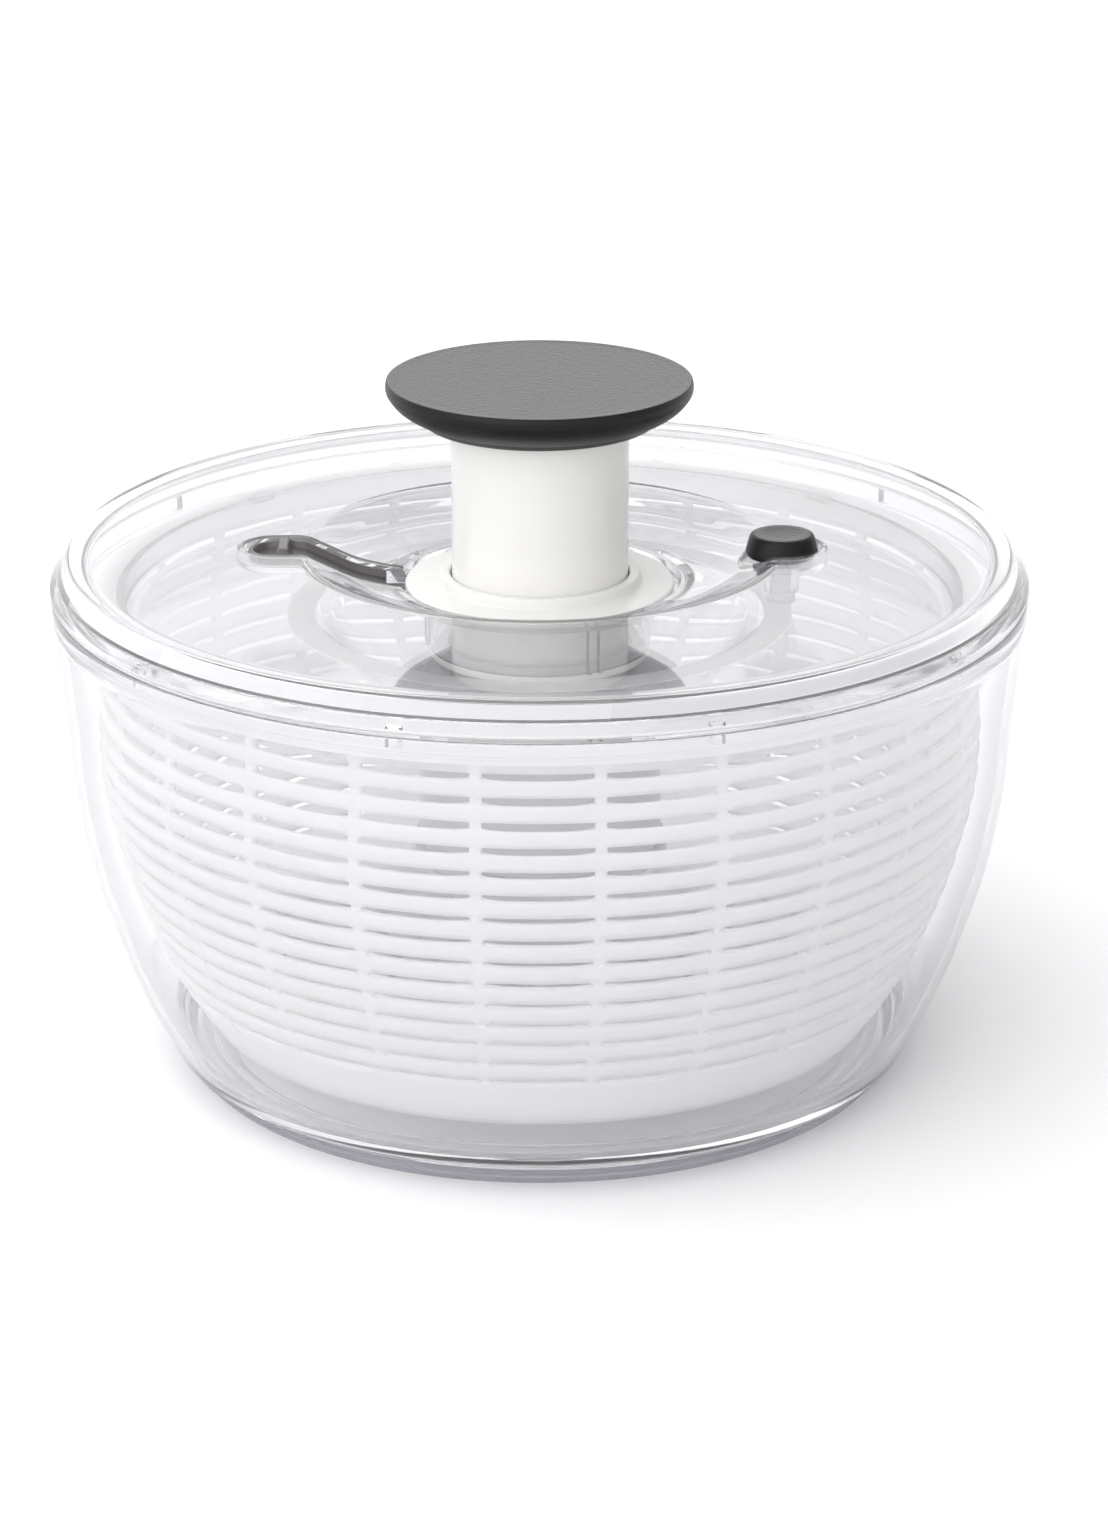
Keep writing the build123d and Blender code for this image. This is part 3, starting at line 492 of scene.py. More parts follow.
def basket_section():
    """The section's points in order, which rows between them are slots, and how far each point bulges."""
    radius, height, is_slot, bulge = [HUB_R], [BASKET_FLOOR], [], [0.0]

    def go_to(r, z, slot=False, out=0.0):
        radius.append(r), height.append(z), is_slot.append(slot), bulge.append(out)

    for start in FLOOR_SLOTS:
        go_to(start, BASKET_FLOOR)
        go_to(start + FLOOR_SLOT_WIDTH, BASKET_FLOOR, slot=True)
    go_to(FLOOR_R, BASKET_FLOOR)
    side = smooth(BASKET_SIDE, 200)

    def climb_to(z, **more):
        go_to(np.interp(z, side[:, 1], side[:, 0]), z, **more)

    for z in np.linspace(BASKET_FLOOR + 0.3, SLOT_FIRST_Z - SLOT_PITCH + SLOT_HEIGHT / 2, 6):
        climb_to(z)
    for row in range(SLOT_ROWS):
        gap = np.interp(row, (0, SLOT_ROWS - 1), SLOT_SEEN)
        low = SLOT_FIRST_Z + row * SLOT_PITCH + SLOT_HEIGHT / 2 - gap
        for share in BAR_SHARES:
            lean = BULGE * share ** 0.8 * (1 - 0.25 * share ** 8)
            climb_to(low - (1 - share) * (SLOT_PITCH - SLOT_HEIGHT), out=lean)
        climb_to(low + gap, slot=True)
    for z in ABOVE_SLOTS:
        climb_to(z)
    for r, z in outline([(121, 130.5, 0), (121, 133, 1.0), (116, 133, 0)])[1:]:
        go_to(r, z)
    return np.array(radius), np.array(height), np.array(is_slot), np.array(bulge)


def basket_sheet():
    """The sheet's outer face: x = r cos a, y = r sin a, where a rib keeps its width in mm at every radius."""
    r, z, is_slot, bulge = basket_section()
    half_rib = 0.5 * RIB_WIDTH / np.maximum(r, 20.0)
    sector = 2 * pi / RIBS
    share = np.array([0.0, 0.06, 0.2, 0.38, 0.5, 0.62, 0.8, 0.94, 1.0])
    swell = np.array([0.0, 0.6, 1.0, 1.0, 1.0, 1.0, 1.0, 0.6, 0.0])
    start = np.arange(RIBS) * sector + sector / 2
    turn = start[None, :, None] + half_rib[:, None, None] + share * (sector - 2 * half_rib[:, None, None])
    columns = RIBS * len(share)
    turn = turn.reshape(len(r), columns)
    radius = r[:, None] + bulge[:, None] * np.tile(swell, RIBS)
    points = np.stack([radius * np.cos(turn), radius * np.sin(turn), z[:, None] + 0 * turn], axis=-1)
    faces = grid_faces(len(r), columns, False, True)
    row, column = np.divmod(np.arange(len(faces)), columns)
    in_rib = column % len(share) == len(share) - 1
    return points.reshape(-1, 3), faces[~is_slot[row] | in_rib]


points, faces = basket_sheet()
basket = mesh_piece("slotted_basket", points, faces, 50)
wall = basket.modifiers.new("wall", "SOLIDIFY")
wall.thickness, wall.offset, wall.use_even_offset = BASKET_WALL * MM, -1.0, False
socket = turned("socket", outline([(8.3, 13.8, 0.2), (10.3, 13.8, 0.4), (10.3, 19.4, 0.6), (0, 19.4, 0),
                                   (0, 17.4, 0), (8.3, 17.4, 0.2)]), 64)
join(basket, socket)
dress(basket, "basket", milky_pp)


# %% [markdown]
# ## The lid
# One clear moulding with a flat deck, a sunken dish in its middle, and a ridge round its rim. Two pockets
# are moulded in it: a long one that the lock slides in, and a round one for the brake. A pocket is easiest
# as solids: a well is united with the sheet from below, and its hollow is cut out from above. Both follow
# the lid's surface, so each is a grid too: one direction goes round the pocket, the other along its
# section.

# %% Lid sheet
DECK_WALL = 2.2
DECK_TOP = 144.6
DISH = [(38.5, 135.5), (50.0, 138.0), (58.0, 141.5), (64.4, DECK_TOP)]
SEAT = (38.5, 133.0)
SPIGOT_BORE, LID_BOTTOM, RIDGE_R = 27.5, 130.8, 123.6
UNDER_FROM, UNDER_SHIFT = 45.0, 1.3  # the dish's lower face runs a little wider than its upper one
dish = smooth(DISH, 28)


def lid_surface(x, y):
    """The lid's height at a point: the dish's curve up to its edge, and the flat deck beyond."""
    return np.interp(np.hypot(x, y), dish[:, 0], dish[:, 1])


def lid_outline():
    """The lid's section: under the seat and the dish, out to the rim, over the ridge and back."""
    shift = UNDER_SHIFT * np.clip((dish[:, 0] - UNDER_FROM) / (DISH[-1][0] - UNDER_FROM), 0, 1)
    under = np.column_stack([dish[:, 0] + shift, dish[:, 1] - DECK_WALL])
    under = under[under[:, 0] > SEAT[0] + DECK_WALL + 0.6]
    return np.vstack([
        outline([(SPIGOT_BORE, LID_BOTTOM, 0.3), (SEAT[0] + DECK_WALL, LID_BOTTOM, 0.8), (*under[0], 0.3),
                 (*under[1], 0)])[:-1],
        under[1:-1],
        outline([(DISH[-1][0], under[-1, 1] - 1, 0), (*under[-1], 1.6), (90, under[-1, 1], 0),
                 (RIDGE_R, DECK_TOP - DECK_WALL, 2.0), (128.8, 140, 0.3), (131, 140, 0.35),
                 (128.1, lid_cover_top, 0.9), (126.9, lid_cover_top, 0.7), (RIDGE_R, DECK_TOP, 2.5),
                 (90, DECK_TOP, 0), (*DISH[-1], 1.6), (60, 142.4, 0)])[1:-1],
        dish[::-1][1:-1],
        outline([(40, 136, 0), (SEAT[0], 135.5, 0.4), (*SEAT, 0.5), (SPIGOT_BORE, SEAT[1], 0.3),
                 (SPIGOT_BORE, LID_BOTTOM, 0)])[1:-1],
    ])


lid_cover_top = reach("lid_cover")[2]
lid = turned("clear_lid", lid_outline(), 320)
print("lid sheet", len(lid.data.polygons), "faces")


# %% Pockets and what fills them
def slot_path(start_x, end_x, blunt=1.0, turns=40, sides=60):
    """A long slot's path: for each step round it, a point of its middle line and the way outwards."""
    left, right = np.linspace(pi / 2, 3 * pi / 2, turns), np.linspace(-pi / 2, pi / 2, turns)
    run = np.linspace(0, 1, sides + 2)[1:-1] if start_x != end_x else np.zeros(0)
    flat = 0 * run
    middle = np.concatenate([start_x + 0 * left, start_x + run * (end_x - start_x), end_x + 0 * right,
                             end_x + run * (start_x - end_x)])
    out_x = np.concatenate([np.cos(left), flat, blunt * np.cos(right), flat])
    out_y = np.concatenate([np.sin(left), flat - 1, np.sin(right), flat + 1])
    return middle, out_x, out_y


def pocket(name, path, section, angle=35):
    """A closed solid with the outline of a path: (reach, height) rows go out from the middle line and back.

    x = middle + reach * out_x, y = reach * out_y; z is the lid's surface there plus the height, or the height
    alone where it is above 50 mm.
    """
    middle, out_x, out_y = path
    reach_out, height = np.asarray(section, float).T[:, :, None]
    x, y = middle + reach_out * out_x, reach_out * out_y
    z = np.where(height > 50, height, lid_surface(x, y) + height)
    points = np.stack([x, y, z], axis=-1)
    faces = grid_faces(len(section), len(middle), False, True)
    return weld(mesh_piece(name, points.reshape(-1, 3), faces, angle), angle)


# %% Lock pocket and brake well
LOCK_END_X, LOCK_SLOT_R, LOCK_INNER_X = -72.2, 8.5, -37.2
POCKET_WALL, POCKET_DEPTH = 1.8, 7.2
BRAKE_X, WELL_R, WELL_WALL = 66.0, 10.8, 1.6
WELL_FLOOR = (137.5, 139.3)
BOSS = (4.8, 129.8)
STEM_HOLE = 3.0
LIP = 0.7                            # the round edge where a pocket meets the lid's surface
ROUND = 0.8                          # the round edge of a pocket's floor
SINK, CUT_TOP = -1.1, 3.0            # a well ends this far below the surface, a cutter this far above it


def steps_in(outer, low):
    """Rows that carry a cap from the middle line out to the wall, so that the cap follows the surface."""
    return [(r, low) for r in np.linspace(0.0, outer, 4)]


def flare(radius):
    """Rows of a quarter circle that opens a hollow outwards where it meets the lid's surface."""
    return [(radius + LIP * (1 - np.cos(t)), -LIP + LIP * np.sin(t)) for t in np.linspace(0, pi / 2, 6)]


def lip_section(radius, bottom):
    """A cutter's section: flat floor, round inner corner, wall, and a flare that rounds the lid's edge."""
    inner = radius - ROUND
    corner = [(inner + ROUND * np.sin(t), bottom + ROUND - ROUND * np.cos(t))
              for t in np.linspace(0.2, pi / 2, 4)]
    top = [(radius + LIP, CUT_TOP)]
    return steps_in(inner, bottom) + corner + flare(radius) + top + steps_in(radius + LIP, CUT_TOP)[::-1][1:]


lock_path = slot_path(LOCK_END_X, LOCK_INNER_X)
well_out = LOCK_SLOT_R + POCKET_WALL
lock_well = pocket("lock_well", lock_path, steps_in(well_out - 1.5, -POCKET_DEPTH)
                   + [(well_out - 0.5, -POCKET_DEPTH + 0.4), (well_out, -POCKET_DEPTH + 1.5),
                      (well_out, SINK)]
                   + steps_in(well_out, SINK)[::-1][1:])
lock_hollow = pocket("lock_hollow", lock_path, lip_section(LOCK_SLOT_R, POCKET_WALL - POCKET_DEPTH))

round_path = slot_path(BRAKE_X, BRAKE_X, turns=60)
outer = WELL_R + WELL_WALL
brake_well = pocket("brake_well", round_path, [(0, WELL_FLOOR[0]), (outer - 1, WELL_FLOOR[0]),
                    (outer - 0.3, WELL_FLOOR[0] + 0.3), (outer, WELL_FLOOR[0] + 1), (outer, SINK), (0, SINK)])
brake_boss = pocket("brake_boss", round_path, [(0, BOSS[1]), (BOSS[0] - 0.4, BOSS[1]),
                                               (BOSS[0], BOSS[1] + 0.4),
                    (BOSS[0], WELL_FLOOR[0] + 0.8), (0, WELL_FLOOR[0] + 0.8)])
brake_hollow = pocket("brake_hollow", round_path, [(0, WELL_FLOOR[1]), (WELL_R, WELL_FLOOR[1])]
                      + flare(WELL_R) + [(WELL_R + LIP, CUT_TOP), (0, CUT_TOP)])
stem_hole = pocket("stem_hole", round_path, [(0, BOSS[1] - 2), (STEM_HOLE, BOSS[1] - 2), (STEM_HOLE, 141),
                                             (0, 141)])


# %% Tip slot
BOX_STEPS, BOX_FLAT = 9, 1.6         # points along a box's side, and how soon a side becomes flat


def rounded_box(name, low, high, turn=0.0, edge=0.6):
    """A box with round edges: a cube's grid pushed to its walls, each point at edge mm round an inner box."""
    low, high = np.asarray(low, float), np.asarray(high, float)
    ramp = np.linspace(-1, 1, BOX_STEPS)
    u, v = np.meshgrid(ramp, ramp, indexing="ij")
    one = np.ones_like(u)
    sides = [(u, v, one), (v, u, -one), (one, u, v), (-one, v, u), (v, one, u), (u, -one, v)]
    cube = np.concatenate([np.stack(side, axis=-1).reshape(-1, 3) for side in sides])
    face = grid_faces(BOX_STEPS, BOX_STEPS, False, False)
    faces = np.concatenate([face + BOX_STEPS ** 2 * i for i in range(len(sides))])
    inner = np.clip(cube * BOX_FLAT, -1, 1)
    away = cube - inner / BOX_FLAT
    away /= np.linalg.norm(away, axis=1)[:, None]
    half = (high - low) / 2 - edge
    points = inner * half + away * edge + (high + low) / 2
    c, s = np.cos(radians(turn)), np.sin(radians(turn))
    points = points @ np.array([[c, s, 0], [-s, c, 0], [0, 0, 1]])
    return weld(mesh_piece(name, points, faces, 60), 60)


TIP_SLOT = ((-41.5, -3.8, 130.2), (-26.5, 3.8, 134.9))
tip_slot = rounded_box("tip_slot", *TIP_SLOT)
carve(lid, [("UNION", lock_well), ("DIFFERENCE", lock_hollow), ("DIFFERENCE", tip_slot),
            ("UNION", brake_well), ("UNION", brake_boss), ("DIFFERENCE", brake_hollow),
            ("DIFFERENCE", stem_hole)])
dress(lid, "lid_cover", san_lid)

# %% [markdown]
# ## The lid's rim band
# A separate clear ring carries the plug that centres the lid in the bowl. Ten small windows in the plug are
# where the lid's clips catch; each shows as a short dark mark.

# %% Rim band
PLUG_R, PLUG_WALL, PLUG_BOTTOM = 128.8, 2.2, 128.5
CLIPS, FIRST_CLIP, CLIP_WIDTH = 10, -70.0, 4.0
CLIP_Z = (131.2, 135.2)
FINE_STEPS = 720                     # steps round a piece that carries narrow marks


def near_angles(steps, count, first, width, radius):
    """True for each step round the axis that lies inside one of some evenly spaced marks."""
    turn = np.degrees(np.linspace(0, 2 * pi, steps, endpoint=False))
    gap = 360 / count
    away = (turn - first + gap / 2) % gap - gap / 2
    return np.abs(away) < np.degrees(0.5 * width / radius)


inner = PLUG_R - PLUG_WALL
band_corners = outline([(inner, PLUG_BOTTOM, 0.4), (PLUG_R, PLUG_BOTTOM, 0.5), (PLUG_R, 135.2, 0.3),
                        (132.5, 135.2, 0.4), (lid_r, 136.6, 0.6), (lid_r, 137.4, 0.6), (131, 139.9, 0.3),
                        (inner, 139.9, 0.3)])
low, high = CLIP_Z
window = np.array([(inner, high + 0.1), (inner, high), (inner, low), (inner, low - 0.1)])
band_outline = np.vstack([band_corners, window])
is_window = np.zeros(len(band_outline))
is_window[[-3, -2]] = PLUG_WALL / 2
marks = near_angles(FINE_STEPS, CLIPS, FIRST_CLIP, CLIP_WIDTH, PLUG_R)
band = turned("clear_rim_band", band_outline, FINE_STEPS, swell=is_window[:, None] * marks)
dress(band, "lid_ring", san_lid)

# %% [markdown]
# ## The column's bearing
# The white collar sits in the lid's seat: a flat flange with a low ring round the column. Below it hang a
# clear sleeve with three pairs of ribs and the acetal ring that the turning parts run on.

# %% Collar, sleeve and bearing ring
COLLAR_BORE, SPIGOT_R, COLLAR_R, COLLAR_TOP, COLLAR_RING_TOP = 24.5, 27.2, 36.8, 134.8, 137.6
SPIGOT_LOW, FLANGE_LOW = 128.0, 133.1
RIB_STEPS, RIB_SIZE = 540, 1.2       # steps round the sleeve, and how wide and high its ribs are
SLEEVE_BORE, SLEEVE_R, SLEEVE_RIBS = 28.3, 30.3, (-64, -58)
_, sleeve_bottom, sleeve_top = reach("guide_sleeve")
collar = turned("white_collar", outline([
    (COLLAR_BORE, SPIGOT_LOW, 0.3), (SPIGOT_R, SPIGOT_LOW, 0.4), (SPIGOT_R, FLANGE_LOW, 0.2),
    (COLLAR_R, FLANGE_LOW, 0.3),
    (COLLAR_R, COLLAR_TOP, 0.7), (SPIGOT_R + 0.6, COLLAR_TOP, 0.6), (SPIGOT_R, COLLAR_RING_TOP, 0.5),
    (COLLAR_BORE, COLLAR_RING_TOP, 0.7)]), 192)
tip_window = rounded_box("tip_window", (-29, -3.8, 130.7), (-22, 3.8, 133.0), edge=0.3)
collar_key = rounded_box("collar_key", (-2, 22.8, 128.2), (2, 25.2, COLLAR_TOP - 0.3), edge=0.3)
carve(collar, [("DIFFERENCE", tip_window), ("UNION", collar_key)])
dress(collar, "collar", white_abs)

sleeve_outline = outline([(SLEEVE_BORE, sleeve_bottom, 0.2), (SLEEVE_R, sleeve_bottom, 0.2),
                          (SLEEVE_R, sleeve_top, 0.2), (SLEEVE_BORE, sleeve_top, 0.2)])
ribs = sum(near_angles(RIB_STEPS, 3, first, RIB_SIZE, SLEEVE_R) for first in SLEEVE_RIBS)
on_outside = (sleeve_outline[:, 0] > SLEEVE_R - 0.3)[:, None]
sleeve = turned("clear_guide_sleeve", sleeve_outline, RIB_STEPS, swell=RIB_SIZE * on_outside * ribs)
dress(sleeve, "guide_sleeve", san_lid)
_, low, high = reach("bearing_ring")
dress(turned("acetal_bearing_ring", outline([(26.9, low, 0.3), (SLEEVE_R, low, 0.4), (SLEEVE_R, high, 0.3),
                                             (26.9, high, 0.3)]), 160), "bearing_ring", acetal)

# %% [markdown]
# ## Springs
# A compression spring is a round wire carried along a helix. Its coils crowd together at both ends, so that
# the ends lie flat. The height is therefore not a straight ramp: it starts and stops gently.

# %% Springs
COIL_STEPS, WIRE_STEPS = 36, 10
END_EASE = 0.045                     # how far the coils crowd together at the ends


def spring(name, centre_x, radius, wire, bottom, top, turns):
    """A wire round a helix: centre line (r cos t, r sin t, z(t)), section a circle square to the line."""
    share = np.linspace(0, 1, turns * COIL_STEPS + 1)
    t = 2 * pi * turns * share
    ease = share - np.sin(2 * pi * share) * END_EASE
    low, high = bottom + wire / 2, top - wire / 2
    line = np.stack([radius * np.cos(t), radius * np.sin(t), low + (high - low) * ease], axis=-1)
    ahead = np.gradient(line, axis=0)
    ahead /= np.linalg.norm(ahead, axis=1)[:, None]
    out = np.stack([np.cos(t), np.sin(t), 0 * t], axis=-1)
    side = np.cross(ahead, out)
    ring = np.linspace(0, 2 * pi, WIRE_STEPS, endpoint=False)[None, :, None]
    thick = np.where((share == 0) | (share == 1), 0.0, wire / 2)[:, None, None]
    points = line[:, None] + thick * (np.cos(ring) * out[:, None] + np.sin(ring) * side[:, None])
    points[..., 0] += centre_x
    faces = grid_faces(len(t), WIRE_STEPS, False, True)
    return weld(mesh_piece(name, points.reshape(-1, 3), faces, 60), 60)


_, low, high = reach("return_spring")
return_spring = dress(spring("return_spring_wire", 0, 8.0, 1.4, low, high, 9), "return_spring", spring_steel)
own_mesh(return_spring)
_, low, high = reach("brake_spring")
wire = spring("brake_spring_wire", BRAKE_X, 5.6, 0.7, low, high, 4)
brake_spring = dress(wire, "brake_spring", spring_steel)
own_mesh(brake_spring)

# %% [markdown]
# ## The brake
# A soft black button with a shallow dished top and a skirt that flares, a milky pin through the lid, and a
# frosted pad that rubs on the turntable's ring.

# %% Brake button, pin and pad
at_brake = (BRAKE_X, 0.0)
PAD_R = 3.9
SHEEN_TOP_R, SHEEN_TOP_Z = 7.6, 147.4      # the dished top inside this radius and above this height is grained and given the painted sheen
button_corners = [(0, 147.5, 0), (4.0, 147.6, 2.0), (6.8, 148.0, 1.0), (8.7, 147.8, 1.7), (9.6, 144.4, 1.0),
                  (10, 142.8, 0.3), (9.4, 142.8, 0.1), (9.4, 141.8, 0.3), (7.8, 141.8, 0.3), (7.0, 146, 0.4),
                  (4.3, 146, 0.3), (4.3, 141.8, 0.2), (2.75, 141.8, 0.2), (2.75, 145.25, 0.1), (0, 145.25, 0)]
button = turned("brake_button_soft", outline(button_corners), 128, 50, centre=at_brake)
dress(button, "brake_button", black_tpe_side, black_tpe_painted_sheen)
# Painted sheen: the dished top takes the lighter grained black.
paint_where(button, lambda x, y, z: (z > SHEEN_TOP_Z) & (np.hypot(x - BRAKE_X, y) < SHEEN_TOP_R))
_, low, high = reach("brake_stem")
stem_corners = [(0, low, 0), (PAD_R, low, 0.3), (PAD_R, 129.5, 0.3), (2.7, 129.5, 0.2), (2.7, high, 0.4),
                (0, high, 0)]
dress(turned("brake_pin", outline(stem_corners), 64, centre=at_brake), "brake_stem", milky_pin)
_, low, high = reach("brake_pad")
pad_corners = [(0, low, 0), (PAD_R, low, 0.4), (PAD_R, high, 0.2), (0, high, 0)]
dress(turned("brake_pad_soft", outline(pad_corners), 64, centre=at_brake), "brake_pad", frosted)

# %% [markdown]
# ## The lock slide
# A dark slide that follows the lid's surface from the deck down into the dish. Its top is a long gutter,
# and a thumb fin rises out of it with flanks that sweep up in hollow curves. A narrower tip runs on under
# the collar. The top is a height over a grid of the slot's outline, so the fin and the gutter are only
# terms of one sum.

# %% Lock slide
LEVER_R, LEVER_NOSE_X, LEVER_TOP, LEVER_FOOT = 7.2, -42.6, -1.0, -4.9
GUTTER_DEPTH, GUTTER_EDGE = 1.9, 0.84
FIN_X, FIN_HALF, FIN_TOP, FIN_SWEEP = -69.9, 1.1, 145.0, 5.5
TIP_LOW, TIP_HIGH = (-43.2, -3.5, 131.0), (-26.4, 3.5, 132.7)


def lock_slide():
    """Rings from the middle line out, over the edge and back below: z = lid + drop - gutter + fin."""
    middle, out_x, out_y = slot_path(LOCK_END_X, LEVER_NOSE_X + 0.3, blunt=0.05, turns=48, sides=110)
    across = np.concatenate([np.linspace(0, 0.7, 8), [0.76, 0.8, GUTTER_EDGE, 0.87, 0.93, 0.965, 0.985, 1.0]])
    drop = np.interp(across, [0.965, 0.985, 1.0], [0, -0.1, -0.35])
    ramp = np.clip((GUTTER_EDGE - across) / 0.14, 0, 1)
    hollow = (1 - (across / GUTTER_EDGE) ** 2).clip(0)
    gutter = GUTTER_DEPTH * (ramp ** 2 * (3 - 2 * ramp) * 0.8 + 0.2 * hollow)
    share = across[:, None]
    x, y = middle + share * LEVER_R * out_x, share * LEVER_R * out_y
    flank = np.clip((np.abs(x - FIN_X) - FIN_HALF) / FIN_SWEEP, 0, 1)
    rise = (FIN_TOP - DECK_TOP - LEVER_TOP) * (1 - flank) ** 2.6
    rise = rise + gutter[:, None] * np.clip(1 - flank * 3.0, 0, 1) ** 2 * (share < 0.8)
    fade = np.clip((1.0 - share) / 0.28, 0, 1) ** 0.7
    top = lid_surface(x, y) + LEVER_TOP + drop[:, None] - gutter[:, None] + rise * fade
    side = [(1.0, LEVER_FOOT + 0.4)] + [(s, LEVER_FOOT) for s in (0.96, 0.8, 0.6, 0.4, 0.2, 0.0)]
    low_share, low_height = np.array(side).T[:, :, None]
    low_x, low_y = middle + low_share * LEVER_R * out_x, low_share * LEVER_R * out_y
    low_z = lid_surface(low_x, low_y) + low_height
    points = np.concatenate([np.stack([x, y, top], axis=-1), np.stack([low_x, low_y, low_z], axis=-1)])
    faces = grid_faces(len(points), len(middle), False, True)
    return weld(mesh_piece("lock_slide_body", points.reshape(-1, 3), faces, 40), 40)


lever = join(lock_slide(), rounded_box("lock_tip", TIP_LOW, TIP_HIGH, edge=0.5))
dress(lever, "lock_lever", warm_abs)

# %% [markdown]
# ## Knob and column
# The knob is a hard core with a soft skin moulded over it. Its flank leans out in one smooth curve to a
# narrow edge, and its top is flat with a fine grain and given a lighter black than the flank: painted sheen.
# The column below is glossy white, with a groove that the lock's tip slides in and a keyway at the back.

# %% Knob
KNOB_SIDE = [(26.5, 180.4), (33.0, 181.6), (38.2, 184.4), (41.0, 187.6), (41.5, 189.6), (41.3, 190.9)]
CORE_LOW, CORE_CORNER, CORE_LOW_R, CORE_R = 180.2, 185.0, 31.4, 37.5
SKIN_GAP = 0.05                      # keeps the skin and the core from sharing a surface
base_top = reach("knob_base")[2]


def knob_outline():
    """The skin's section: up the flank, over the edge, across the top, and back round the hard core."""
    flank = smooth(KNOB_SIDE, 44)
    return np.vstack([
        outline([(*flank[0], 0), (*flank[1], 0)]), flank[2:-1],
        outline([(41.4, 189.9, 0), (knob_r - 0.25, knob_top, 0.8), (40.2, knob_top, 0.3),
                 (38.6, knob_top - 0.12, 0.6), (0, knob_top - 0.25, 0), (0, base_top + SKIN_GAP, 0),
                 (CORE_R + SKIN_GAP, base_top + SKIN_GAP, 0.2), (CORE_R + SKIN_GAP, CORE_CORNER, 0.2),
                 (CORE_LOW_R + 0.15, CORE_LOW, 0.1), (*KNOB_SIDE[0], 0)])[1:-1],
    ])


knob = turned("knob_soft_skin", knob_outline(), 256, 60)
dress(knob, "knob_pad", black_tpe_side, black_tpe_painted_sheen)
# Painted sheen: the flat top takes the lighter grained black.
paint_where(knob, lambda x, y, z: (z > knob_top - 0.4) & (np.hypot(x, y) < knob_r - 0.6))
core = turned("knob_core", outline([(0, CORE_LOW, 0), (CORE_LOW_R, CORE_LOW, 0.3), (CORE_R, CORE_CORNER, 0.5),
                                    (CORE_R, base_top, 0.3), (0, base_top, 0)]), 160)
dress(core, "knob_base", dark_abs)

# %% Column
TUBE_R, TUBE_BORE, TUBE_BOTTOM, TUBE_TOP = 24.2, 21.0, 114.0, CORE_LOW
TUBE_END = TUBE_TOP - 2.2            # the underside of the plate that closes the tube
tube = turned("white_column", outline([
    (TUBE_BORE, TUBE_BOTTOM, 0.3), (TUBE_R, TUBE_BOTTOM, 0.6), (TUBE_R, TUBE_TOP, 0.3), (0, TUBE_TOP, 0),
    (0, TUBE_END, 0), (TUBE_BORE, TUBE_END, 0.8)]), 192)
lock_groove = rounded_box("lock_groove", (-26, -4.5, 125), (-22, 4.5, 171), edge=0.8)
keyway = rounded_box("keyway", (-2.3, 22.5, 112), (2.3, 26, 173.8), edge=0.4)
carve(tube, [("DIFFERENCE", lock_groove), ("DIFFERENCE", keyway)])
dress(tube, "plunger_tube", white_abs)

# %% [markdown]
# ## What turns
# The grey housing of the drive has a neck, a shallow cone with a fine notched edge, and a drum. A clear
# turntable hangs from it and drives the basket by four tabs; the brake rubs on the frosted ring on it.

# %% Housing
_, drum_bottom, neck_top = reach("hub_drum")
CONE_R, NOTCHES, NOTCH_WIDTH, NOTCH_DEPTH = 39.5, 40, 1.6, 0.9
hub_outline = outline([
    (24.9, neck_top, 0.3), (24.9, 106.5, 1.0), (31.5, 99.5, 1.0), (31.5, drum_bottom, 0.3),
    (33.5, drum_bottom, 0.4), (33.5, 101, 0.6), (CONE_R, 102.5, 0.3), (CONE_R, 104.5, 0.4),
    (27.6, 111.4, 0.8),
    (26.6, 112.4, 0.3), (26.6, 115, 0.2), (28, 115, 0.2), (28, neck_top, 0.3)])
at_edge = (hub_outline[:, 0] > CONE_R - 0.5)[:, None]
notched = at_edge * near_angles(FINE_STEPS, NOTCHES, 360 / NOTCHES / 2, NOTCH_WIDTH, CONE_R)
dress(turned("grey_housing", hub_outline, FINE_STEPS, swell=-NOTCH_DEPTH * notched), "hub_drum", grey_abs)
cap_r, cap_bottom, cap_top = reach("drum_cap")
dress(turned("grey_drum_cap", outline([(6.1, cap_bottom, 0.2), (cap_r, cap_bottom, 1.0),
                                       (cap_r, cap_top, 0.3),
                                       (6.1, cap_top, 0.2)]), 160), "drum_cap", grey_abs)

# %% Turntable and brake ring
PLATE = [(33.6, 98.2, 0.2), (42.8, 98.2, 0.8), (45.2, 100.4, 1.2), (58.8, 120.4, 1.5), (61, 122.1, 1.2),
         (111.6, 122.1, 1.5), (115.3, 124.6, 1.5), (115.3, 132.8, 0.4), (113.3, 132.8, 0.4),
         (113.3, 126.4, 1.5),
         (111, 124.3, 1.2), (60, 124.3, 1.2), (57, 121.8, 1.2), (43.2, 101.4, 1.0), (42, 100.4, 0.8),
         (33.6, 100.4, 0.2)]
plate = turned("clear_turntable", outline(PLATE), 288)
tabs = [rounded_box(f"tab_{i}", (114.6, -4, 130.8), (118.6, 4, 132.8), 45 + 90 * i, 0.4) for i in range(4)]
carve(plate, [("UNION", tab) for tab in tabs])
dress(plate, "turntable", san)
_, low, high = reach("brake_ring")
RUBBED = (61.4, 69.0)                # the inner and outer radius of the ring that the brake rubs on
ring_outline = outline([(RUBBED[0], low, 0.1), (RUBBED[1], low, 0.1), (RUBBED[1], high, 0.25),
                        (RUBBED[0], high, 0.25)])
dress(turned("frosted_brake_ring", ring_outline, 256), "brake_ring", frosted)

# %% [markdown]
# ## Pieces that keep their CAD shape
# The small inner pieces already have their real shape. They only need a real finish.

# %% Inner pieces
for node in ("spindle", "knob_screws", "cap_screws"):
    refinish(node, spring_steel)
for node in ("pivot_cup", "drive_nut", "spindle_bush"):
    refinish(node, acetal)
for node in ("spindle_cap", "clutch_hub", "clutch_ring"):
    refinish(node, grey_abs)

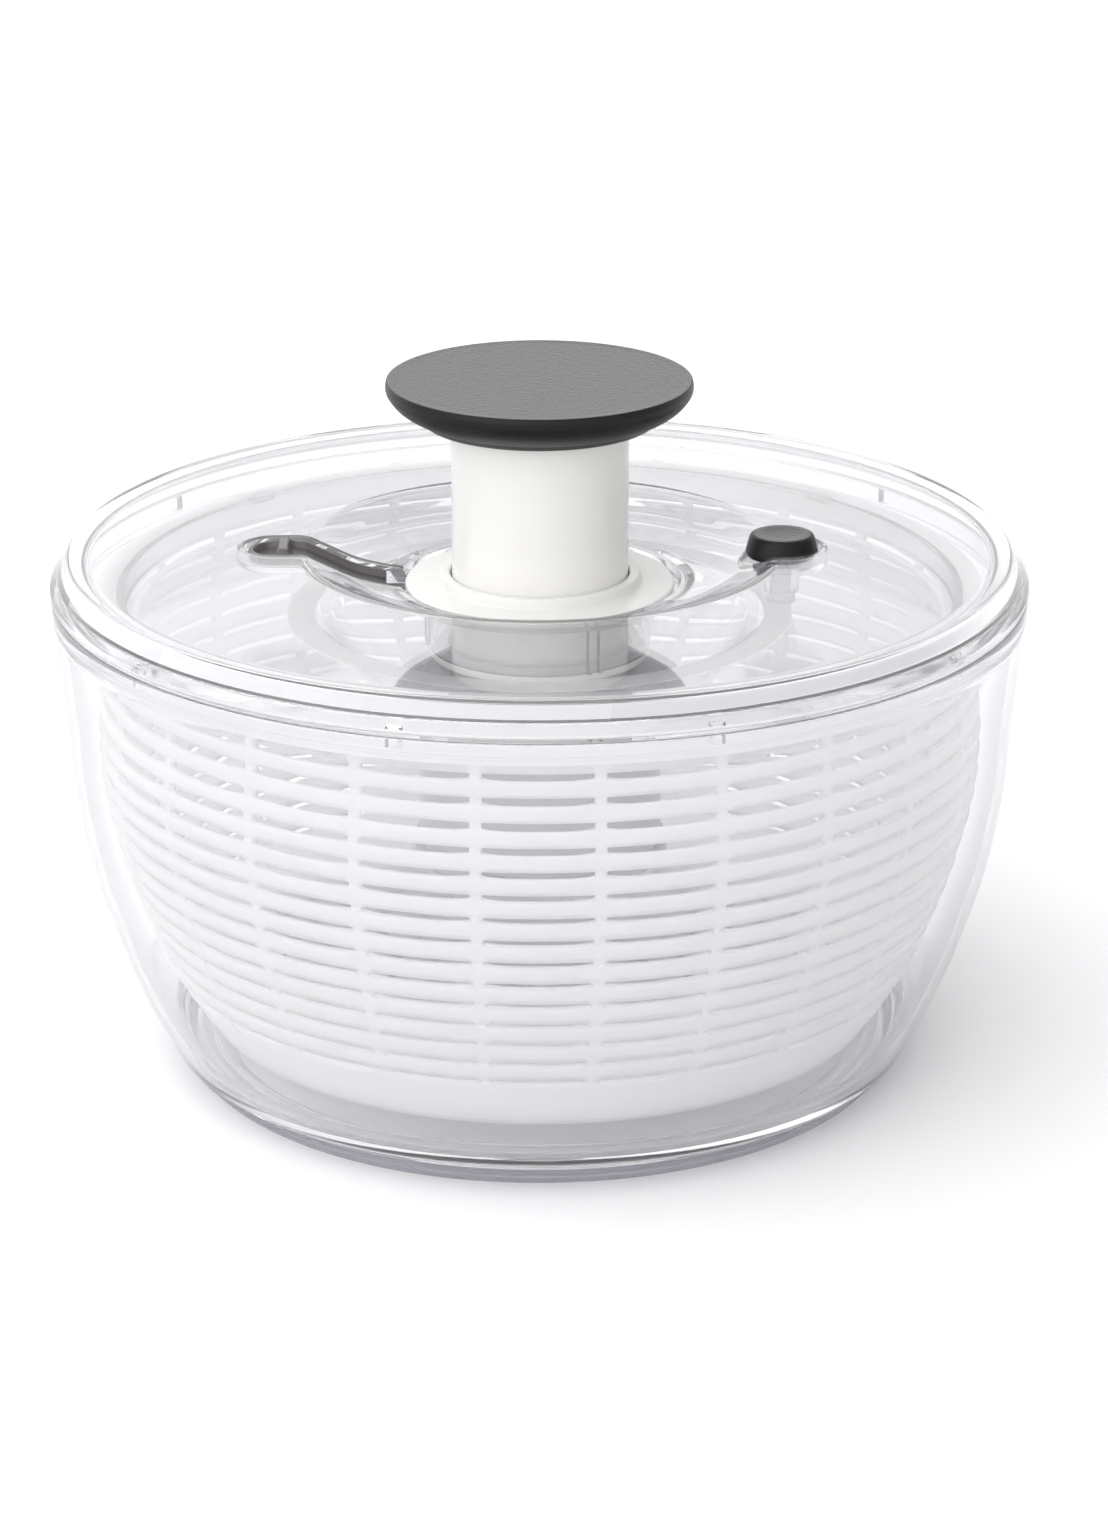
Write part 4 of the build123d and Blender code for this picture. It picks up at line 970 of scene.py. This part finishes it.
# %% [markdown]
# ## Camera
# A long lens looks down at about 20 degrees, so that the rim's ellipses are nearly as flat as in a
# catalogue picture.

# %% Camera
camera = bpy.data.objects.new("camera", bpy.data.cameras.new("camera"))
camera.data.lens, camera.data.sensor_width = 98.8, 36.0
camera.location, camera.rotation_euler = (0.0039, -1.092, 0.4862), (radians(69.64), 0, 0)
bpy.context.scene.collection.objects.link(camera)
bpy.context.scene.camera = camera
print("camera at", [round(c, 3) for c in camera.location])

# %% [markdown]
# ## Floor and light
# White on white: clear plastic shows only by what it bends and mirrors. The floor is lit until it is white,
# so the walls in front of it stay bright. The surroundings are bright in front and on the left, greyer on
# the right and overhead, and dark at the far left and right. That grey comes back in the edges of the
# walls, where the light is bent most. The camera itself sees a white backdrop. One very large soft lamp
# from the upper left shapes the white column and leaves a faint shadow to the right.

# %% Floor
span = 12.0
floor_mesh = bpy.data.meshes.new("floor")
corners = [(-span, -span, 0), (span, -span, 0), (span, span, 0), (-span, span, 0)]
floor_mesh.from_pydata(corners, [], [(0, 1, 2, 3)])
floor = bpy.data.objects.new("floor", floor_mesh)
bpy.context.scene.collection.objects.link(floor)
paper, tree, output = new_material("white_paper")
link(tree, output, add(tree, "ShaderNodeBsdfDiffuse", Color=hex_colour("#fbfbfb")))
floor_mesh.materials.append(paper)
print("floor reaches", span, "m each way")

# %% Surroundings
def set_ramp(node, stops):
    """Gives a colour ramp its stops, as pairs of position and colour."""
    ramp = node.color_ramp
    for end in (0, 1):
        ramp.elements[end].position, ramp.elements[end].color = stops[-end][0], hex_colour(stops[-end][1])
    for position, colour in stops[1:-1]:
        ramp.elements.new(position).color = hex_colour(colour)


world = bpy.data.worlds.new("studio")
bpy.context.scene.world = world
world.use_nodes = True
tree = world.node_tree
tree.nodes.clear()
output = tree.nodes.new("ShaderNodeOutputWorld")
place = add(tree, "ShaderNodeTexCoord").outputs["Generated"]
axes = add(tree, "ShaderNodeSeparateXYZ", Vector=place)
across = add(tree, "ShaderNodeMapRange", Value=axes.outputs["X"], From_Min=-1.0, From_Max=1.0)
sideways = add(tree, "ShaderNodeValToRGB", Fac=across.outputs[0])
set_ramp(sideways, [(0.0, "#7c7c7c"), (0.12, "#ffffff"), (0.9, "#c0c0c0"), (1.0, "#6c6c6c")])
FRONT_GLOW, BACK_GLOW = 2.45, 2.1    # strength of the surroundings in front of the object and behind it
depth = add(tree, "ShaderNodeMapRange", Value=axes.outputs["Y"], From_Min=-1.0, From_Max=1.0,
            To_Min=FRONT_GLOW, To_Max=BACK_GLOW)
glow = add(tree, "ShaderNodeMath", {"operation": "MULTIPLY"}, _0=sideways.outputs[0], _1=depth.outputs[0])
shade = add(tree, "ShaderNodeValToRGB", Fac=axes.outputs["Z"])
set_ramp(shade, [(0.0, "#fcfcfc"), (0.25, "#ececed"), (0.6, "#bfbfc1"), (1.0, "#b4b4b6")])
sky = add(tree, "ShaderNodeBackground", Color=shade.outputs[0], Strength=glow.outputs[0])
backdrop = add(tree, "ShaderNodeBackground", Color=hex_colour("#ffffff"))
seen = add(tree, "ShaderNodeLightPath").outputs["Is Camera Ray"]
studio = add(tree, "ShaderNodeMixShader", _0=seen, _1=sky.outputs[0], _2=backdrop.outputs[0])
tree.links.new(studio.outputs[0], output.inputs["Surface"])
print("surroundings:", len(tree.nodes), "nodes")

# %% Key lamp
key_light = bpy.data.lights.new("key", "SUN")
key_light.energy, key_light.angle = 1.45, radians(100)
key = bpy.data.objects.new("key", key_light)
key.rotation_euler = (radians(24), radians(-34), 0)
bpy.context.scene.collection.objects.link(key)
print("key lamp of strength", key.data.energy)

# %% [markdown]
# ## Picture settings
# Clear walls within clear walls need many bounces. The standard view keeps white paper white.

# %% Picture settings
scene = bpy.context.scene
scene.view_settings.view_transform = "Standard"
scene.cycles.max_bounces = 32
scene.cycles.transmission_bounces = 32
scene.cycles.transparent_max_bounces = 32
scene.cycles.glossy_bounces = 8
scene.cycles.diffuse_bounces = 12
scene.cycles.use_denoising = True
print("view transform:", scene.view_settings.view_transform)
